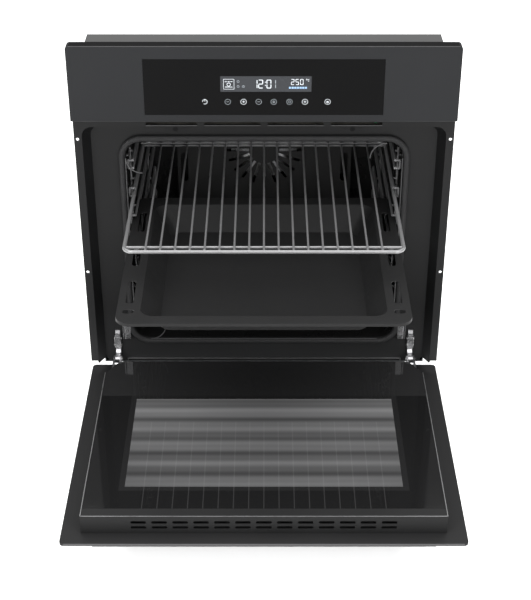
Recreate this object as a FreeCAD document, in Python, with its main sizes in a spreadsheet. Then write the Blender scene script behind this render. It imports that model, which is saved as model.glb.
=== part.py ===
import FreeCAD, Part
import math
import os
import re

import Sketcher

# Built-in wall oven, 600 mm niche class, with its drop-down door open and its shelf and tray drawn out.
# +X is to the right seen from the front, +Y goes back into the cabinet, +Z is up.
# The origin lies on the base plate's underside, below the middle of the casing.
# Depths are measured back from the outer face of the closed door.

SIZES = {
    # Overall
    "width": 595,  # fascia and door, side to side
    "height": 595,  # base plate to fascia top
    "front_y": -270,  # outer face of the closed door
    "body_depth": 495,  # closed door's outer face to the rear cover
    "case_width": 554,  # casing that goes into the cabinet
    "roof_height": 456,  # roof over the cavity
    "roof_run": 415,  # depth at which the roof starts to slope
    "roof_drop": 28,
    "gauge": 1,  # folded casing sheet
    "cover_gap": 0.5,  # between folded covers that meet
    "base_slot_x": 180,
    "base_slot_length": 60,
    "base_slot_width": 6,
    "louvre_length": 80,
    "louvre_height": 5,
    "louvre_pitch": 14,
    "louvre_drop": 36,  # fan axis down to the lowest louvre
    "louvres": 6,
    "terminal_x": -200,
    "terminal_low": 70,
    "terminal_width": 60,
    "terminal_height": 42,
    "terminal_depth": 26,
    "cable_inlet": 6,
    "case_screw_inset": 12,
    "case_screw_low": 30,
    "case_screw_radius": 3.6,
    "case_screw_head": 2.2,
    # Control box and fascia
    "control_back": 107,
    "control_roof": 575,
    "box_slot_rise": 70,
    "box_slot_length": 48,
    "box_slot_height": 6,
    "box_slot_pitch": 60,
    "fascia_height": 121,
    "fascia_depth": 20,
    "fascia_wall": 1.5,
    "fascia_corner": 5,
    "touch_glass_width": 365,
    "touch_glass_height": 90,
    "touch_glass_thick": 3,
    "touch_glass_rise": 11,
    "touch_glass_gap": 0.2,
    "window_lip": 10,
    "display_left": -66,
    "display_width": 138,
    "display_height": 25,
    "display_rise": 49,
    "display_depth": 6,
    "board_gauge": 1.6,
    "key_rise": 32.6,
    "key_board_width": 230,
    "key_board_height": 22,
    "key_spring_radius": 4,
    "key_spring_height": 4,
    "power_board_left": 172,
    "power_board_length": 96,
    "power_board_front": 34,
    "power_board_width": 66,
    "power_board_rise": 6,
    "relay_pitch": 20,
    "relay_length": 15,
    "relay_width": 28,
    "relay_height": 16,
    # Front frame
    "flange_depth": 22,
    "frame_gauge": 1.5,
    "flange_strip": 12.5,
    "recess_depth": 44,
    "recess_slope": 11,
    "recess_top": 455,
    "recess_fall": 7,
    "recess_corner": 16,
    "flange_foot": 17,
    "frame_low": 3,
    "fixing_inset": 5.5,  # frame's side edge to its fixing holes
    "fixing_low": 194,
    "fixing_pitch": 240,
    "fixing_radius": 2.5,
    "vent_low": 458.5,
    "vent_height": 4.5,
    "vent_inner": 5.5,
    "vent_middle": 93,
    "vent_next": 104,
    "vent_outer": 184,
    "hatch_half": 240,  # service hatch behind the fascia
    "hatch_low": 482,
    "hatch_high": 566,
    # Cavity
    "mouth_lap": 2,  # frame over the cavity's sides
    "mouth_low": 51,
    "mouth_high": 422,
    "mouth_corner": 26,
    "cavity_half": 224,
    "cavity_floor": 50,
    "cavity_roof": 428,
    "cavity_back": 470,
    "cavity_corner": 24,
    "liner_gauge": 1.2,
    "gasket_lap": 3,
    "gasket_low": 52,
    "gasket_high": 421,
    "gasket_corner": 27,
    "gasket_tube": 12,
    "gasket_rise": 7.6,
    "gasket_round": 3.5,
    "hook_offset": 17,  # cavity side to the brackets beside it
    "hook_low": 52,
    "hook_height": 32,
    "hook_gauge": 1.5,
    "hook_rise": 6,
    "hook_hole": 2,
    # Side racks
    "level_low": 122,
    "level_pitch": 50,
    "pair_gap": 14,
    "rack_wire": 2.2,
    "rack_post": 2,
    "rack_post_gap": 4.4,
    "runner_inset": 12,
    "rack_front": 62,
    "rack_back": 458,
    "post_front": 98,
    "post_back": 402,
    "stud_radius": 3,
    # Wire shelf and baking tray, each with the depth of its drawn-out front edge
    "ride_gap": 0.2,
    "shelf_gap": 9,  # cavity side to the shelf
    "shelf_depth": 400,
    "shelf_front": -138,
    "shelf_rim_wire": 3,
    "shelf_bar_wire": 1.6,
    "shelf_bar_inset": 32.8,  # rim to the outermost bar
    "shelf_corner": 14,
    "shelf_cross_inset": 14,
    "tray_gap": 7,  # cavity side to the tray
    "tray_depth": 400,
    "tray_front": -262,
    "tray_corner": 22,
    "tray_gauge": 1.2,
    "tray_lip": 5,
    "tray_side_rim": 35,
    "tray_front_rim": 21,
    "tray_back_rim": 25,
    "tray_well": 40,
    "tray_slope": 26,
    "tray_well_corner": 20,
    "tray_slot_length": 66,
    "tray_slot_width": 12,
    "tray_slot_inset": 17,
    # Heaters and fans
    "element_wire": 3.2,
    "element_gap": 0.4,
    "grill_drop": 12,
    "grill_half": 175,
    "grill_inner": 60,
    "grill_end": 25,
    "grill_front": 95,
    "grill_turn": 330,
    "grill_back": 410,
    "grill_bend": 18,
    "bottom_heater_half": 150,
    "bottom_heater_front": 110,
    "bottom_heater_back": 400,
    "bottom_heater_bend": 30,
    "element_end": 8,  # leads behind the cavity's back wall
    "ring_radius": 84,
    "fan_height": 216,
    "fan_cover_half": 167,
    "fan_cover_low": 84,
    "fan_cover_high": 346,
    "fan_cover_face": 450,
    "fan_slot_inner": 29,
    "fan_slot_outer": 72,
    "fan_slot_width": 5.5,
    "fan_slots": 20,
    "side_slot_width": 14,
    "side_slot_height": 60,
    "fan_radius": 64,
    "fan_blades": 12,
    "fan_hub": 12,
    "fan_gap": 2.5,
    "fan_blade_inner": 26,
    "fan_blade_depth": 12,
    "fan_blade_gauge": 1.2,
    "shaft_radius": 4,
    "shaft_gap": 0.05,
    "shaft_hole": 9,
    "motor_radius": 36,
    "motor_length": 40,
    "dome_radius": 82,
    "dome_back": 548,
    "blower_depth": 76,
    "blower_height": 492,
    "blower_radius": 19,
    "blower_length": 270,
    "blower_left": -140,
    "blower_shell": 23,
    "blower_shaft": 2,
    "blower_wall": 1.5,
    "blower_end_gap": 6,
    "blower_ring": 7,
    "blower_vane": 3.2,
    "blower_vanes": 16,
    "blower_motor_length": 36,
    "blower_motor": 21,
    "lamp_x": 118,
    "lamp_depth": 330,
    "lamp_radius": 24,
    "lamp_holder": 19.5,
    "flue_inset": 9,
    "flue_depth": 76,
    "flue_radius": 12,
    "probe_inset": 32,
    "probe_height": 395,
    "probe_radius": 2.5,
    "probe_length": 60,
    # Door, measured as it lies open
    "door_gap": 4,
    "door_low": 6,
    "door_thick": 36,
    "pivot_depth": 24,
    "pivot_height": 19,
    "door_corner": 7,
    "outer_glass": 4,
    "middle_glass": 3,
    "inner_glass": 4,
    "inner_half": 268,
    "vent_inset": 23.4,
    "vent_bar_depth": 17.6,
    "profile_wall": 1.5,
    "profile_edge": 2,
    "profile_width": 28,
    "inner_glass_gap": 0.2,
    "chamfer_width": 20,
    "chamfer_length": 34,
    "door_vents": 13,
    "door_vent_pitch": 30.5,
    "door_vent_width": 23,
    "door_vent_height": 5,
    "door_vent_low": 12.5,
    "door_vent_high": 22,
    "middle_height": 17,
    "middle_half": 232,
    "spacer_length": 30,
    "spacer_width": 8,
    "hinge_x": 252,
    "hinge_body_half": 7,
    "hinge_fork": 4.4,
    "hinge_body_radius": 6.4,
    "hinge_body_length": 200,
    "arm_half": 4,
    "arm_gap": 0.4,
    "pin_radius": 3,
    "pin_gap": 0.05,
    "cassette_half": 9,
    "cassette_low": 8,
    "cassette_high": 74,
    "cassette_back": 118,
    "handle_inset": 63,
    "handle_reach": 45,
    "handle_radius": 9,
    "handle_half": 260,
    "post_half": 215,
    "post_width": 14,
    "post_depth": 20,
    "screw_radius": 2.5,
    "screw_head": 5,
    "screw_gap": 0.1,
}

# Places worked out from the sizes
CASE_HALF = "case_width / 2"
BACK = "(front_y + body_depth)"
FASCIA_LOW = "(height - fascia_height)"
FLANGE = "(front_y + flange_depth)"
FLANGE_BACK = "(front_y + flange_depth + frame_gauge)"
RECESS = "(front_y + recess_depth)"
RECESS_BACK = "(front_y + recess_depth + frame_gauge)"
RECESS_HALF = "(width / 2 - flange_strip)"
CAVITY_BACK = "(front_y + cavity_back)"
COVER_FACE = "(front_y + fan_cover_face)"
PIVOT_Y = "(front_y + pivot_depth)"
DOOR_TOP = "(height - fascia_height - door_gap)"
DOOR_FRONT = f"({PIVOT_Y} + pivot_height - {DOOR_TOP})"
DOOR_END = f"({PIVOT_Y} + pivot_height - door_low)"
DOOR_UNDER = "(pivot_height - pivot_depth)"
DOOR_OVER = f"({DOOR_UNDER} + door_thick)"
GLASS_TOP = f"({DOOR_UNDER} + outer_glass)"
VENT_FACE = f"({DOOR_FRONT} + vent_inset)"
VENT_BACK = f"({VENT_FACE} + vent_bar_depth)"
RUNNER_X = "(cavity_half - runner_inset)"
POST_X = "(cavity_half - rack_post_gap)"
MOUTH_HALF = "(cavity_half - mouth_lap)"
GASKET_HALF = "(cavity_half - gasket_lap)"
HOOK_HALF = "(cavity_half + hook_offset)"
SHELF_HALF = "(cavity_half - shelf_gap)"
TRAY_HALF = "(cavity_half - tray_gap)"
PROBE_X = "(cavity_half - probe_inset)"
FLUE_X = "(flue_inset - cavity_half)"
RIDE_DROP = "(pair_gap / 2 - rack_wire - ride_gap)"
SHELF_LEVEL = 4
TRAY_LEVEL = 3
LEVELS = 6
KEY_PLACES = (-90, -55, -31, -8, 15, 39, 62.5, 97)  # touch keys, across from the middle
PLANES = {"X": ("YZ_Plane", 1), "Y": ("XZ_Plane", -1), "Z": ("XY_Plane", 1)}

doc = FreeCAD.newDocument("wall_oven")
sheet = doc.addObject("Spreadsheet::Sheet", "sizes")
parts = []


def fill_sheet():
    """Write the driving dimensions into the spreadsheet."""
    for row, (alias, size) in enumerate(SIZES.items(), start=1):
        sheet.set(f"A{row}", alias)
        sheet.set(f"B{row}", str(size))
        sheet.setAlias(f"B{row}", alias)
    doc.recompute()


def expand(text):
    """Put the sheet's name in front of each of its aliases in an expression."""

    def with_sheet(word):
        return "sizes." + word.group(0) if word.group(0) in SIZES else word.group(0)

    return re.sub(r"[a-z_]+", with_sheet, str(text))


def value(text):
    """Present value of an expression."""
    return float(sheet.evalExpression(expand(text)))


def bind(item, path, text):
    """Bind a property to an expression on the sheet."""
    item.setExpression(path, expand(text))


def level_height(index):
    """Height of the middle of one rack level."""
    return f"(level_low + {index} * level_pitch)"


# Sketch outlines ------------------------------------------------------------------------------------


def fix(sketch, kind, geometry, point, text):
    """Place a sketch point along one axis by an expression."""
    index = sketch.addConstraint(Sketcher.Constraint(kind, -1, 1, geometry, point, value(text)))
    bind(sketch, f"Constraints[{index}]", text)


def circle(across, up, radius):
    """Outline of a round."""

    def draw(sketch):
        centre = FreeCAD.Vector(value(across), value(up), 0)
        shape = Part.Circle(centre, FreeCAD.Vector(0, 0, 1), value(radius))
        geometry = sketch.addGeometry(shape)
        fix(sketch, "DistanceX", geometry, 3, across)
        fix(sketch, "DistanceY", geometry, 3, up)
        index = sketch.addConstraint(Sketcher.Constraint("Radius", geometry, value(radius)))
        bind(sketch, f"Constraints[{index}]", radius)

    return draw


def polygon(points):
    """Closed outline of straight runs between the points."""

    def draw(sketch):
        corners = [FreeCAD.Vector(value(x), value(y), 0) for x, y in points]
        lines = []
        for start, end in zip(corners, corners[1:] + corners[:1]):
            lines.append(sketch.addGeometry(Part.LineSegment(start, end)))
        for index, (across, up) in enumerate(points):
            following = lines[(index + 1) % len(lines)]
            sketch.addConstraint(Sketcher.Constraint("Coincident", lines[index], 2, following, 1))
            fix(sketch, "DistanceX", lines[index], 1, across)
            fix(sketch, "DistanceY", lines[index], 1, up)

    return draw


def rectangle(left, low, right, high):
    """Outline with four square corners."""
    return polygon([(left, low), (right, low), (right, high), (left, high)])


def bent_run(points, bend, closed=False):
    """Level and upright runs joined by equal arcs; the points are its sharp corners."""

    def draw(sketch):
        corners = [FreeCAD.Vector(value(x), value(y), 0) for x, y in points]
        count = len(corners)
        radius = value(bend)
        runs = count if closed else count - 1
        lines = []
        for index in range(runs):
            start = corners[index]
            end = corners[(index + 1) % count]
            along = (end - start).normalize()
            if closed or index > 0:
                start = start + along * radius
            if closed or index < runs - 1:
                end = end - along * radius
            line = sketch.addGeometry(Part.LineSegment(start, end))
            level = abs(along.x) > abs(along.y)
            sketch.addConstraint(Sketcher.Constraint("Horizontal" if level else "Vertical", line))
            place = points[index][1] if level else points[index][0]
            fix(sketch, "DistanceY" if level else "DistanceX", line, 1, place)
            lines.append(line)
        first_arc = None
        for index in range(0 if closed else 1, runs):
            corner = corners[index]
            back = (corners[index - 1] - corner).normalize()
            ahead = (corners[(index + 1) % count] - corner).normalize()
            turns_left = ahead.cross(back).z > 0
            entry = math.atan2(-ahead.y, -ahead.x)
            leave = math.atan2(-back.y, -back.x)
            start, end = (entry, leave) if turns_left else (leave, entry)
            round_corner = Part.Circle(corner + (back + ahead) * radius, FreeCAD.Vector(0, 0, 1), radius)
            if end < start:
                end += 2 * math.pi
            arc = sketch.addGeometry(Part.ArcOfCircle(round_corner, start, end))
            first, second = (1, 2) if turns_left else (2, 1)
            sketch.addConstraint(Sketcher.Constraint("Tangent", lines[index - 1], 2, arc, first))
            sketch.addConstraint(Sketcher.Constraint("Tangent", arc, second, lines[index], 1))
            if first_arc is None:
                first_arc = arc
                radius_index = sketch.addConstraint(Sketcher.Constraint("Radius", arc, radius))
                bind(sketch, f"Constraints[{radius_index}]", bend)
            else:
                sketch.addConstraint(Sketcher.Constraint("Equal", first_arc, arc))
        if not closed:
            fix_loose_ends(sketch, points, lines)

    return draw


def fix_loose_ends(sketch, points, lines):
    """Place the two ends of an open run along their own directions."""
    ends = ((lines[0], 1, points[0], points[1]), (lines[-1], 2, points[-1], points[-2]))
    for line, point, place, beside in ends:
        level = value(place[1]) == value(beside[1])
        fix(sketch, "DistanceX" if level else "DistanceY", line, point, place[0 if level else 1])


def rounded(left, low, right, high, radius):
    """Outline with four round corners."""
    return bent_run([(left, low), (right, low), (right, high), (left, high)], radius, closed=True)


# Features -------------------------------------------------------------------------------------------


def new_body(label):
    """An empty body with its own label."""
    body = doc.addObject("PartDesign::Body", label)
    body.Label = label
    return body


def keep(item):
    """Count an object among the sub-parts that are written out."""
    parts.append(item)
    return item


def origin_plane(body, role):
    """One of a body's own origin planes or axes."""
    return next(item for item in body.Origin.OriginFeatures if item.Role == role)


def sketch_at(body, axis, place, outlines):
    """A sketch across one axis at a place along it; the outlines use the other two axes in order."""
    role, sense = PLANES[axis]
    sketch = body.newObject("Sketcher::SketchObject", body.Name + "_sketch")
    sketch.AttachmentSupport = [(origin_plane(body, role), "")]
    sketch.MapMode = "FlatFace"
    bind(sketch, "AttachmentOffset.Base.z", f"{sense} * ({place})")
    for outline in outlines:
        outline(sketch)
    return sketch


def slab(body, axis, low, high, *outlines):
    """Add a straight-sided piece between two places along an axis."""
    start = low if PLANES[axis][1] > 0 else high
    feature = body.newObject("PartDesign::Pad", body.Name + "_pad")
    feature.Profile = sketch_at(body, axis, start, outlines)
    bind(feature, "Length", f"({high}) - ({low})")
    return feature


def hollow(body, axis, low, high, *outlines):
    """Cut a straight-sided space between two places along an axis."""
    start = high if PLANES[axis][1] > 0 else low
    feature = body.newObject("PartDesign::Pocket", body.Name + "_pocket")
    feature.Profile = sketch_at(body, axis, start, outlines)
    bind(feature, "Length", f"({high}) - ({low})")
    return feature


def loft(body, kind, axis, near, near_outline, far, far_outline):
    """Blend between two outlines at two places along an axis."""
    feature = body.newObject("PartDesign::" + kind, body.Name + "_loft")
    feature.Profile = sketch_at(body, axis, near, [near_outline])
    feature.Sections = [sketch_at(body, axis, far, [far_outline])]
    feature.Ruled = True
    return feature


def pipe(body, path_axis, path_place, path, section_axis, section_place, section):
    """Sweep a section along a flat path."""
    feature = body.newObject("PartDesign::AdditivePipe", body.Name + "_pipe")
    spine = sketch_at(body, path_axis, path_place, [path])
    feature.Profile = sketch_at(body, section_axis, section_place, [section])
    feature.Spine = spine
    return feature


def turned_copies(body, feature, role, count):
    """Repeat a feature evenly round one of the body's origin axes through its own sketch."""
    pattern = body.newObject("PartDesign::PolarPattern", body.Name + "_pattern")
    pattern.Originals = [feature]
    pattern.Axis = (feature.Profile[0], [role])
    pattern.Angle = 360
    pattern.setExpression("Occurrences", expand(count))
    body.Tip = pattern
    return pattern


def stepped_copies(body, feature, role, pitch, count):
    """Repeat a feature in a row along one of the body's origin axes."""
    pattern = body.newObject("PartDesign::LinearPattern", body.Name + "_row")
    pattern.Originals = [feature]
    pattern.Direction = (origin_plane(body, role), [""])
    bind(pattern, "Length", f"({pitch}) * ({count} - 1)")
    pattern.setExpression("Occurrences", expand(count))
    body.Tip = pattern
    return pattern


def round_edges(body, radius, chosen):
    """Fillet the edges of the body's latest feature that the test accepts."""
    doc.recompute()
    tip = body.Tip
    names = [f"Edge{index}" for index, edge in enumerate(tip.Shape.Edges, start=1) if chosen(edge)]
    feature = body.newObject("PartDesign::Fillet", body.Name + "_fillet")
    feature.Base = (tip, names)
    bind(feature, "Radius", radius)
    return feature


def runs_along(edge, axis):
    """Whether an edge is straight and lies along an axis."""
    if not isinstance(edge.Curve, Part.Line):
        return False
    return abs(getattr(edge.Curve.Direction, axis.lower())) > 0.999


def lies_at(edge, axis, text):
    """Whether a whole edge lies at one place along an axis."""
    box = edge.BoundBox
    low = getattr(box, axis + "Min")
    high = getattr(box, axis + "Max")
    return abs(low - value(text)) < 0.01 and abs(high - value(text)) < 0.01


# Solids ---------------------------------------------------------------------------------------------


def move(item, at, turn=None):
    """Give an object its placement from three expressions and a turn."""
    item.Placement = FreeCAD.Placement(FreeCAD.Vector(), turn or FreeCAD.Rotation())
    for axis, text in zip("xyz", at):
        bind(item, f"Placement.Base.{axis}", text)
    return item


def block(name, low, high):
    """A rectangular block between two corners."""
    item = doc.addObject("Part::Box", name)
    for side, start, end in zip(("Length", "Width", "Height"), low, high):
        bind(item, side, f"({end}) - ({start})")
    return move(item, low)


def along(axis):
    """The turn that lays an upright solid along an axis."""
    ways = {"X": (1, 0, 0), "Y": (0, 1, 0), "Z": (0, 0, 1)}
    return FreeCAD.Rotation(FreeCAD.Vector(0, 0, 1), FreeCAD.Vector(*ways[axis]))


def rod(name, axis, at, length, radius):
    """A round bar that starts at a point and runs along an axis."""
    item = doc.addObject("Part::Cylinder", name)
    bind(item, "Radius", radius)
    bind(item, "Height", length)
    return move(item, at, along(axis))


def joined(name, items):
    """Several solids made into one."""
    item = doc.addObject("Part::MultiFuse", name)
    item.Shapes = items
    item.Refine = True
    return item


def grouped(name, items):
    """Several separate solids kept as one sub-part."""
    item = doc.addObject("Part::Compound", name)
    item.Links = items
    return item


def minus(name, base, tools):
    """A solid with others cut away from it."""
    item = doc.addObject("Part::Cut", name)
    item.Base = base
    item.Tool = tools[0] if len(tools) == 1 else joined(name + "_tools", tools)
    return item


def mirrored(name, source):
    """The same solid on the other side of the middle."""
    item = doc.addObject("Part::Mirroring", name)
    item.Source = source
    item.Normal = FreeCAD.Vector(1, 0, 0)
    return item


# Casing ---------------------------------------------------------------------------------------------


def front_frame():
    """Pressed frame: cabinet flange, sloped recess for the door, cavity mouth and slots."""
    body = new_body("front_frame")
    outer = f"({RECESS_HALF} + frame_gauge)"
    loft(
        body, "AdditiveLoft", "Y",
        FLANGE, rounded(f"-{outer}", "frame_low", outer, "recess_top + frame_gauge", "recess_corner"),
        RECESS_BACK,
        rounded(f"-({outer} - recess_slope)", "frame_low", f"{outer} - recess_slope",
                "recess_top - recess_fall + frame_gauge", "recess_corner"),
    )
    slab(body, "Y", FLANGE, FLANGE_BACK,
         rectangle("-width / 2", "flange_foot", "width / 2", "control_roof"))
    loft(
        body, "SubtractiveLoft", "Y",
        FLANGE,
        rounded(f"-{RECESS_HALF}", "-recess_top / 4", RECESS_HALF, "recess_top", "recess_corner"),
        RECESS,
        rounded(f"-({RECESS_HALF} - recess_slope)", "-recess_top / 4", f"{RECESS_HALF} - recess_slope",
                "recess_top - recess_fall", "recess_corner"),
    )
    hollow(body, "Y", RECESS, RECESS_BACK,
           rounded(f"-{MOUTH_HALF}", "mouth_low", MOUTH_HALF, "mouth_high", "mouth_corner"))
    for side in (-1, 1):
        fixing_x = f"{side} * (width / 2 - fixing_inset)"
        hollow(body, "Y", FLANGE, FLANGE_BACK,
               circle(fixing_x, "fixing_low", "fixing_radius"),
               circle(fixing_x, "fixing_low + fixing_pitch", "fixing_radius"))
        near = f"{side} * hinge_x - arm_half - arm_gap"
        far = f"{side} * hinge_x + arm_half + arm_gap"
        hollow(body, "Y", RECESS, RECESS_BACK,
               rectangle(near, "pivot_height - hinge_body_radius - arm_gap", far, "cassette_high - 6"))
    vents = []
    for start, end in (("vent_inner", "vent_middle"), ("vent_next", "vent_outer")):
        top = "vent_low + vent_height"
        vents.append(rectangle(start, "vent_low", end, top))
        vents.append(rectangle(f"-({end})", "vent_low", f"-({start})", top))
    hollow(body, "Y", FLANGE, FLANGE_BACK, *vents)
    hollow(body, "Y", FLANGE, FLANGE_BACK,
           rectangle("-hatch_half", "hatch_low", "hatch_half", "hatch_high"))
    keep(body)


def side_panels():
    """Flat casing sides behind the front frame."""
    right = new_body("right_side_panel")
    outline = [(RECESS_BACK, "gauge"), (f"{BACK} - gauge", "gauge"),
               (f"{BACK} - gauge", "roof_height - roof_drop - gauge"),
               ("front_y + roof_run", "roof_height - gauge"), (RECESS_BACK, "roof_height - gauge")]
    slab(right, "X", f"{CASE_HALF} - gauge", CASE_HALF, polygon(outline))
    keep(right)
    keep(mirrored("left_side_panel", right))


def base_plate():
    """Bottom sheet that the oven stands on in its niche, with air slots."""
    body = new_body("base_plate")
    slab(body, "Z", "0", "gauge", rectangle(f"-{CASE_HALF}", RECESS_BACK, CASE_HALF, BACK))
    slots = []
    for side in (-1, 1):
        left = f"{side} * base_slot_x - base_slot_length / 2"
        for depth in (150, 180, 360, 390):
            near = f"front_y + {depth}"
            slots.append(rectangle(left, near, f"{left} + base_slot_length", f"{near} + base_slot_width"))
    hollow(body, "Z", "0", "gauge", *slots)
    keep(body)


def roof_cover():
    """Sheet over the cavity, sloped down at the back, with the flue hole."""
    body = new_body("top_cover")
    low = "roof_height - gauge"
    outline = [(RECESS_BACK, low), ("front_y + roof_run", low),
               (f"{BACK} - gauge", f"{low} - roof_drop"), (f"{BACK} - gauge", "roof_height - roof_drop"),
               ("front_y + roof_run", "roof_height"), (RECESS_BACK, "roof_height")]
    slab(body, "X", f"-{CASE_HALF}", CASE_HALF, polygon(outline))
    hollow(body, "Z", low, "roof_height",
           circle(FLUE_X, "front_y + flue_depth", "flue_radius + cover_gap"),
           circle("lamp_x", "front_y + lamp_depth", "lamp_holder + cover_gap"))
    keep(body)


def rear_cover():
    """Back sheet with louvres and a round housing over the fan motor."""
    body = new_body("rear_cover")
    top = "roof_height - roof_drop"
    slab(body, "Y", f"{BACK} - gauge", BACK,
         rectangle(f"-{CASE_HALF}", "gauge", CASE_HALF, f"{top} - gauge"))
    slab(body, "Y", BACK, "front_y + dome_back", circle("0", "fan_height", "dome_radius + gauge"))
    hollow(body, "Y", f"{BACK} - gauge", "front_y + dome_back - gauge",
           circle("0", "fan_height", "dome_radius"))
    slots = []
    for side in (-1, 1):
        left = f"{side} * case_width / 3 - louvre_length / 2"
        for row in range(int(value("louvres"))):
            low = f"fan_height - louvre_drop + {row} * louvre_pitch"
            slots.append(rectangle(left, low, f"{left} + louvre_length", f"{low} + louvre_height"))
    hollow(body, "Y", f"{BACK} - gauge", BACK, *slots)
    keep(body)


def control_box():
    """Folded cover over the controls and the cooling fan, open in front and below."""
    body = new_body("control_box_cover")
    low = "roof_height + cover_gap"
    slab(body, "Y", FLANGE_BACK, "front_y + control_back",
         rectangle(f"-{CASE_HALF}", low, CASE_HALF, "control_roof"))
    hollow(body, "Y", FLANGE_BACK, "front_y + control_back - gauge",
           rectangle(f"-{CASE_HALF} + gauge", f"{low} - gauge", f"{CASE_HALF} - gauge",
                     "control_roof - gauge"))
    slots = []
    rise = "roof_height + box_slot_rise"
    for column in range(-4, 4):
        left = f"({column} + 0.5) * box_slot_pitch - box_slot_length / 2"
        slots.append(rectangle(left, rise, f"{left} + box_slot_length", f"{rise} + box_slot_height"))
    hollow(body, "Y", "front_y + control_back - gauge", "front_y + control_back", *slots)
    keep(body)


# Controls -------------------------------------------------------------------------------------------


def control_fascia():
    """Metal front of the controls, with a recess and window for the touch glass."""
    body = new_body("control_fascia")
    slab(body, "Y", "front_y", "front_y + fascia_depth",
         rectangle("-width / 2", FASCIA_LOW, "width / 2", "height"))
    round_edges(body, "fascia_corner",
                lambda edge: runs_along(edge, "Y") and lies_at(edge, "Z", "height"))
    round_edges(body, "fascia_wall / 2", lambda edge: lies_at(edge, "Y", "front_y"))
    hollow(body, "Y", "front_y + touch_glass_thick + fascia_wall", "front_y + fascia_depth",
           rounded("-width / 2 + fascia_wall", f"{FASCIA_LOW} + fascia_wall", "width / 2 - fascia_wall",
                   "height - fascia_wall", "fascia_corner - fascia_wall"))
    half = "(touch_glass_width / 2 + touch_glass_gap)"
    low = f"({FASCIA_LOW} + touch_glass_rise - touch_glass_gap)"
    high = f"({low} + touch_glass_height + 2 * touch_glass_gap)"
    hollow(body, "Y", "front_y", "front_y + touch_glass_thick", rectangle(f"-{half}", low, half, high))
    hollow(body, "Y", "front_y + touch_glass_thick", "front_y + touch_glass_thick + fascia_wall",
           rectangle(f"-({half} - window_lip)", f"{low} + window_lip", f"{half} - window_lip",
                     f"{high} - window_lip"))
    keep(body)


def touch_glass():
    """Black glass over the display and the touch keys."""
    body = new_body("control_glass")
    low = f"({FASCIA_LOW} + touch_glass_rise)"
    slab(body, "Y", "front_y", "front_y + touch_glass_thick",
         rectangle("-touch_glass_width / 2", low, "touch_glass_width / 2",
                   f"{low} + touch_glass_height"))
    keep(body)


def display_module():
    """Display behind the glass, on its own small board."""
    low = f"({FASCIA_LOW} + display_rise)"
    right = "display_left + display_width"
    glass_back = "(front_y + touch_glass_thick)"
    lens = block("display_lens", ("display_left", glass_back, low),
                 (right, f"{glass_back} + display_depth", f"{low} + display_height"))
    lens_back = f"{glass_back} + display_depth"
    board = block("display_board", ("display_left - 8", lens_back, f"{low} - 3"),
                  (f"{right} + 8", f"{lens_back} + board_gauge", f"{low} + display_height + 3"))
    keep(joined("display_module", [lens, board]))


def touch_key_board():
    """Narrow board with a contact spring behind each of the eight touch keys."""
    middle = f"({FASCIA_LOW} + key_rise)"
    glass_back = "(front_y + touch_glass_thick)"
    board_y = f"{glass_back} + key_spring_height"
    low = f"{middle} - key_board_height / 2"
    pieces = [block("key_board", ("-key_board_width / 2", board_y, low),
                    ("key_board_width / 2", f"{board_y} + board_gauge", f"{low} + key_board_height - 2"))]
    for index, x in enumerate(KEY_PLACES):
        pieces.append(rod(f"key_spring_{index}", "Y", (x, glass_back, middle), "key_spring_height",
                          "key_spring_radius"))
    keep(joined("touch_key_board", pieces))


def power_board():
    """Relay board on the roof at the right of the control box, with its relays and choke."""
    low = "(roof_height + power_board_rise)"
    high = f"{low} + board_gauge"
    right = "(power_board_left + power_board_length)"
    near = "(front_y + power_board_front)"
    far = f"({near} + power_board_width)"
    pieces = [block("power_board_plate", ("power_board_left", near, low), (right, far, high))]
    for index in range(4):
        left = f"power_board_left + 6 + {index} * relay_pitch"
        pieces.append(block(f"relay_{index}", (left, f"{near} + 6", high),
                            (f"{left} + relay_length", f"{near} + 6 + relay_width",
                             f"{high} + relay_height")))
    corners = [(x, y) for y in (f"{near} + 3", f"{far} - 3")
               for x in ("power_board_left + 3", f"{right} - 3")]
    for index, (x, y) in enumerate(corners):
        pieces.append(rod(f"board_stand_{index}", "Z", (x, y, "roof_height"), "power_board_rise", "2.5"))
    pieces.append(rod("choke", "Z", (f"{right} - 28", f"{far} - 16", high), "22", "9"))
    keep(joined("power_board", pieces))


# Cavity ---------------------------------------------------------------------------------------------


def element_holes():
    """Where the grill element's two ends go through the cavity's back wall."""
    return [circle(f"{side} * grill_end", "cavity_roof - grill_drop", "element_wire + element_gap")
            for side in (-1, 1)]


def cavity_liner():
    """Enamelled cavity: a deep box open at the front, with its service holes."""
    body = new_body("cavity_liner")
    outer = "cavity_half + liner_gauge"
    slab(body, "Y", RECESS_BACK, f"{CAVITY_BACK} + liner_gauge",
         rounded(f"-({outer})", "cavity_floor - liner_gauge", outer, "cavity_roof + liner_gauge",
                 "cavity_corner + liner_gauge"))
    hollow(body, "Y", RECESS_BACK, CAVITY_BACK,
           rounded("-cavity_half", "cavity_floor", "cavity_half", "cavity_roof", "cavity_corner"))
    hollow(body, "Y", CAVITY_BACK, f"{CAVITY_BACK} + liner_gauge",
           circle("0", "fan_height", "shaft_hole"),
           circle(PROBE_X, "probe_height", "probe_radius + element_gap"),
           circle("-ring_radius / 4", "fan_height - ring_radius", "element_wire + element_gap"),
           circle("ring_radius / 4", "fan_height - ring_radius", "element_wire + element_gap"),
           *element_holes())
    hollow(body, "Z", "cavity_roof", "cavity_roof + liner_gauge",
           circle("lamp_x", "front_y + lamp_depth", "lamp_holder + cover_gap"),
           circle(f"{FLUE_X} + cavity_corner", "front_y + flue_depth + flue_radius / 2", "flue_radius / 2"))
    keep(body)


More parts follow.
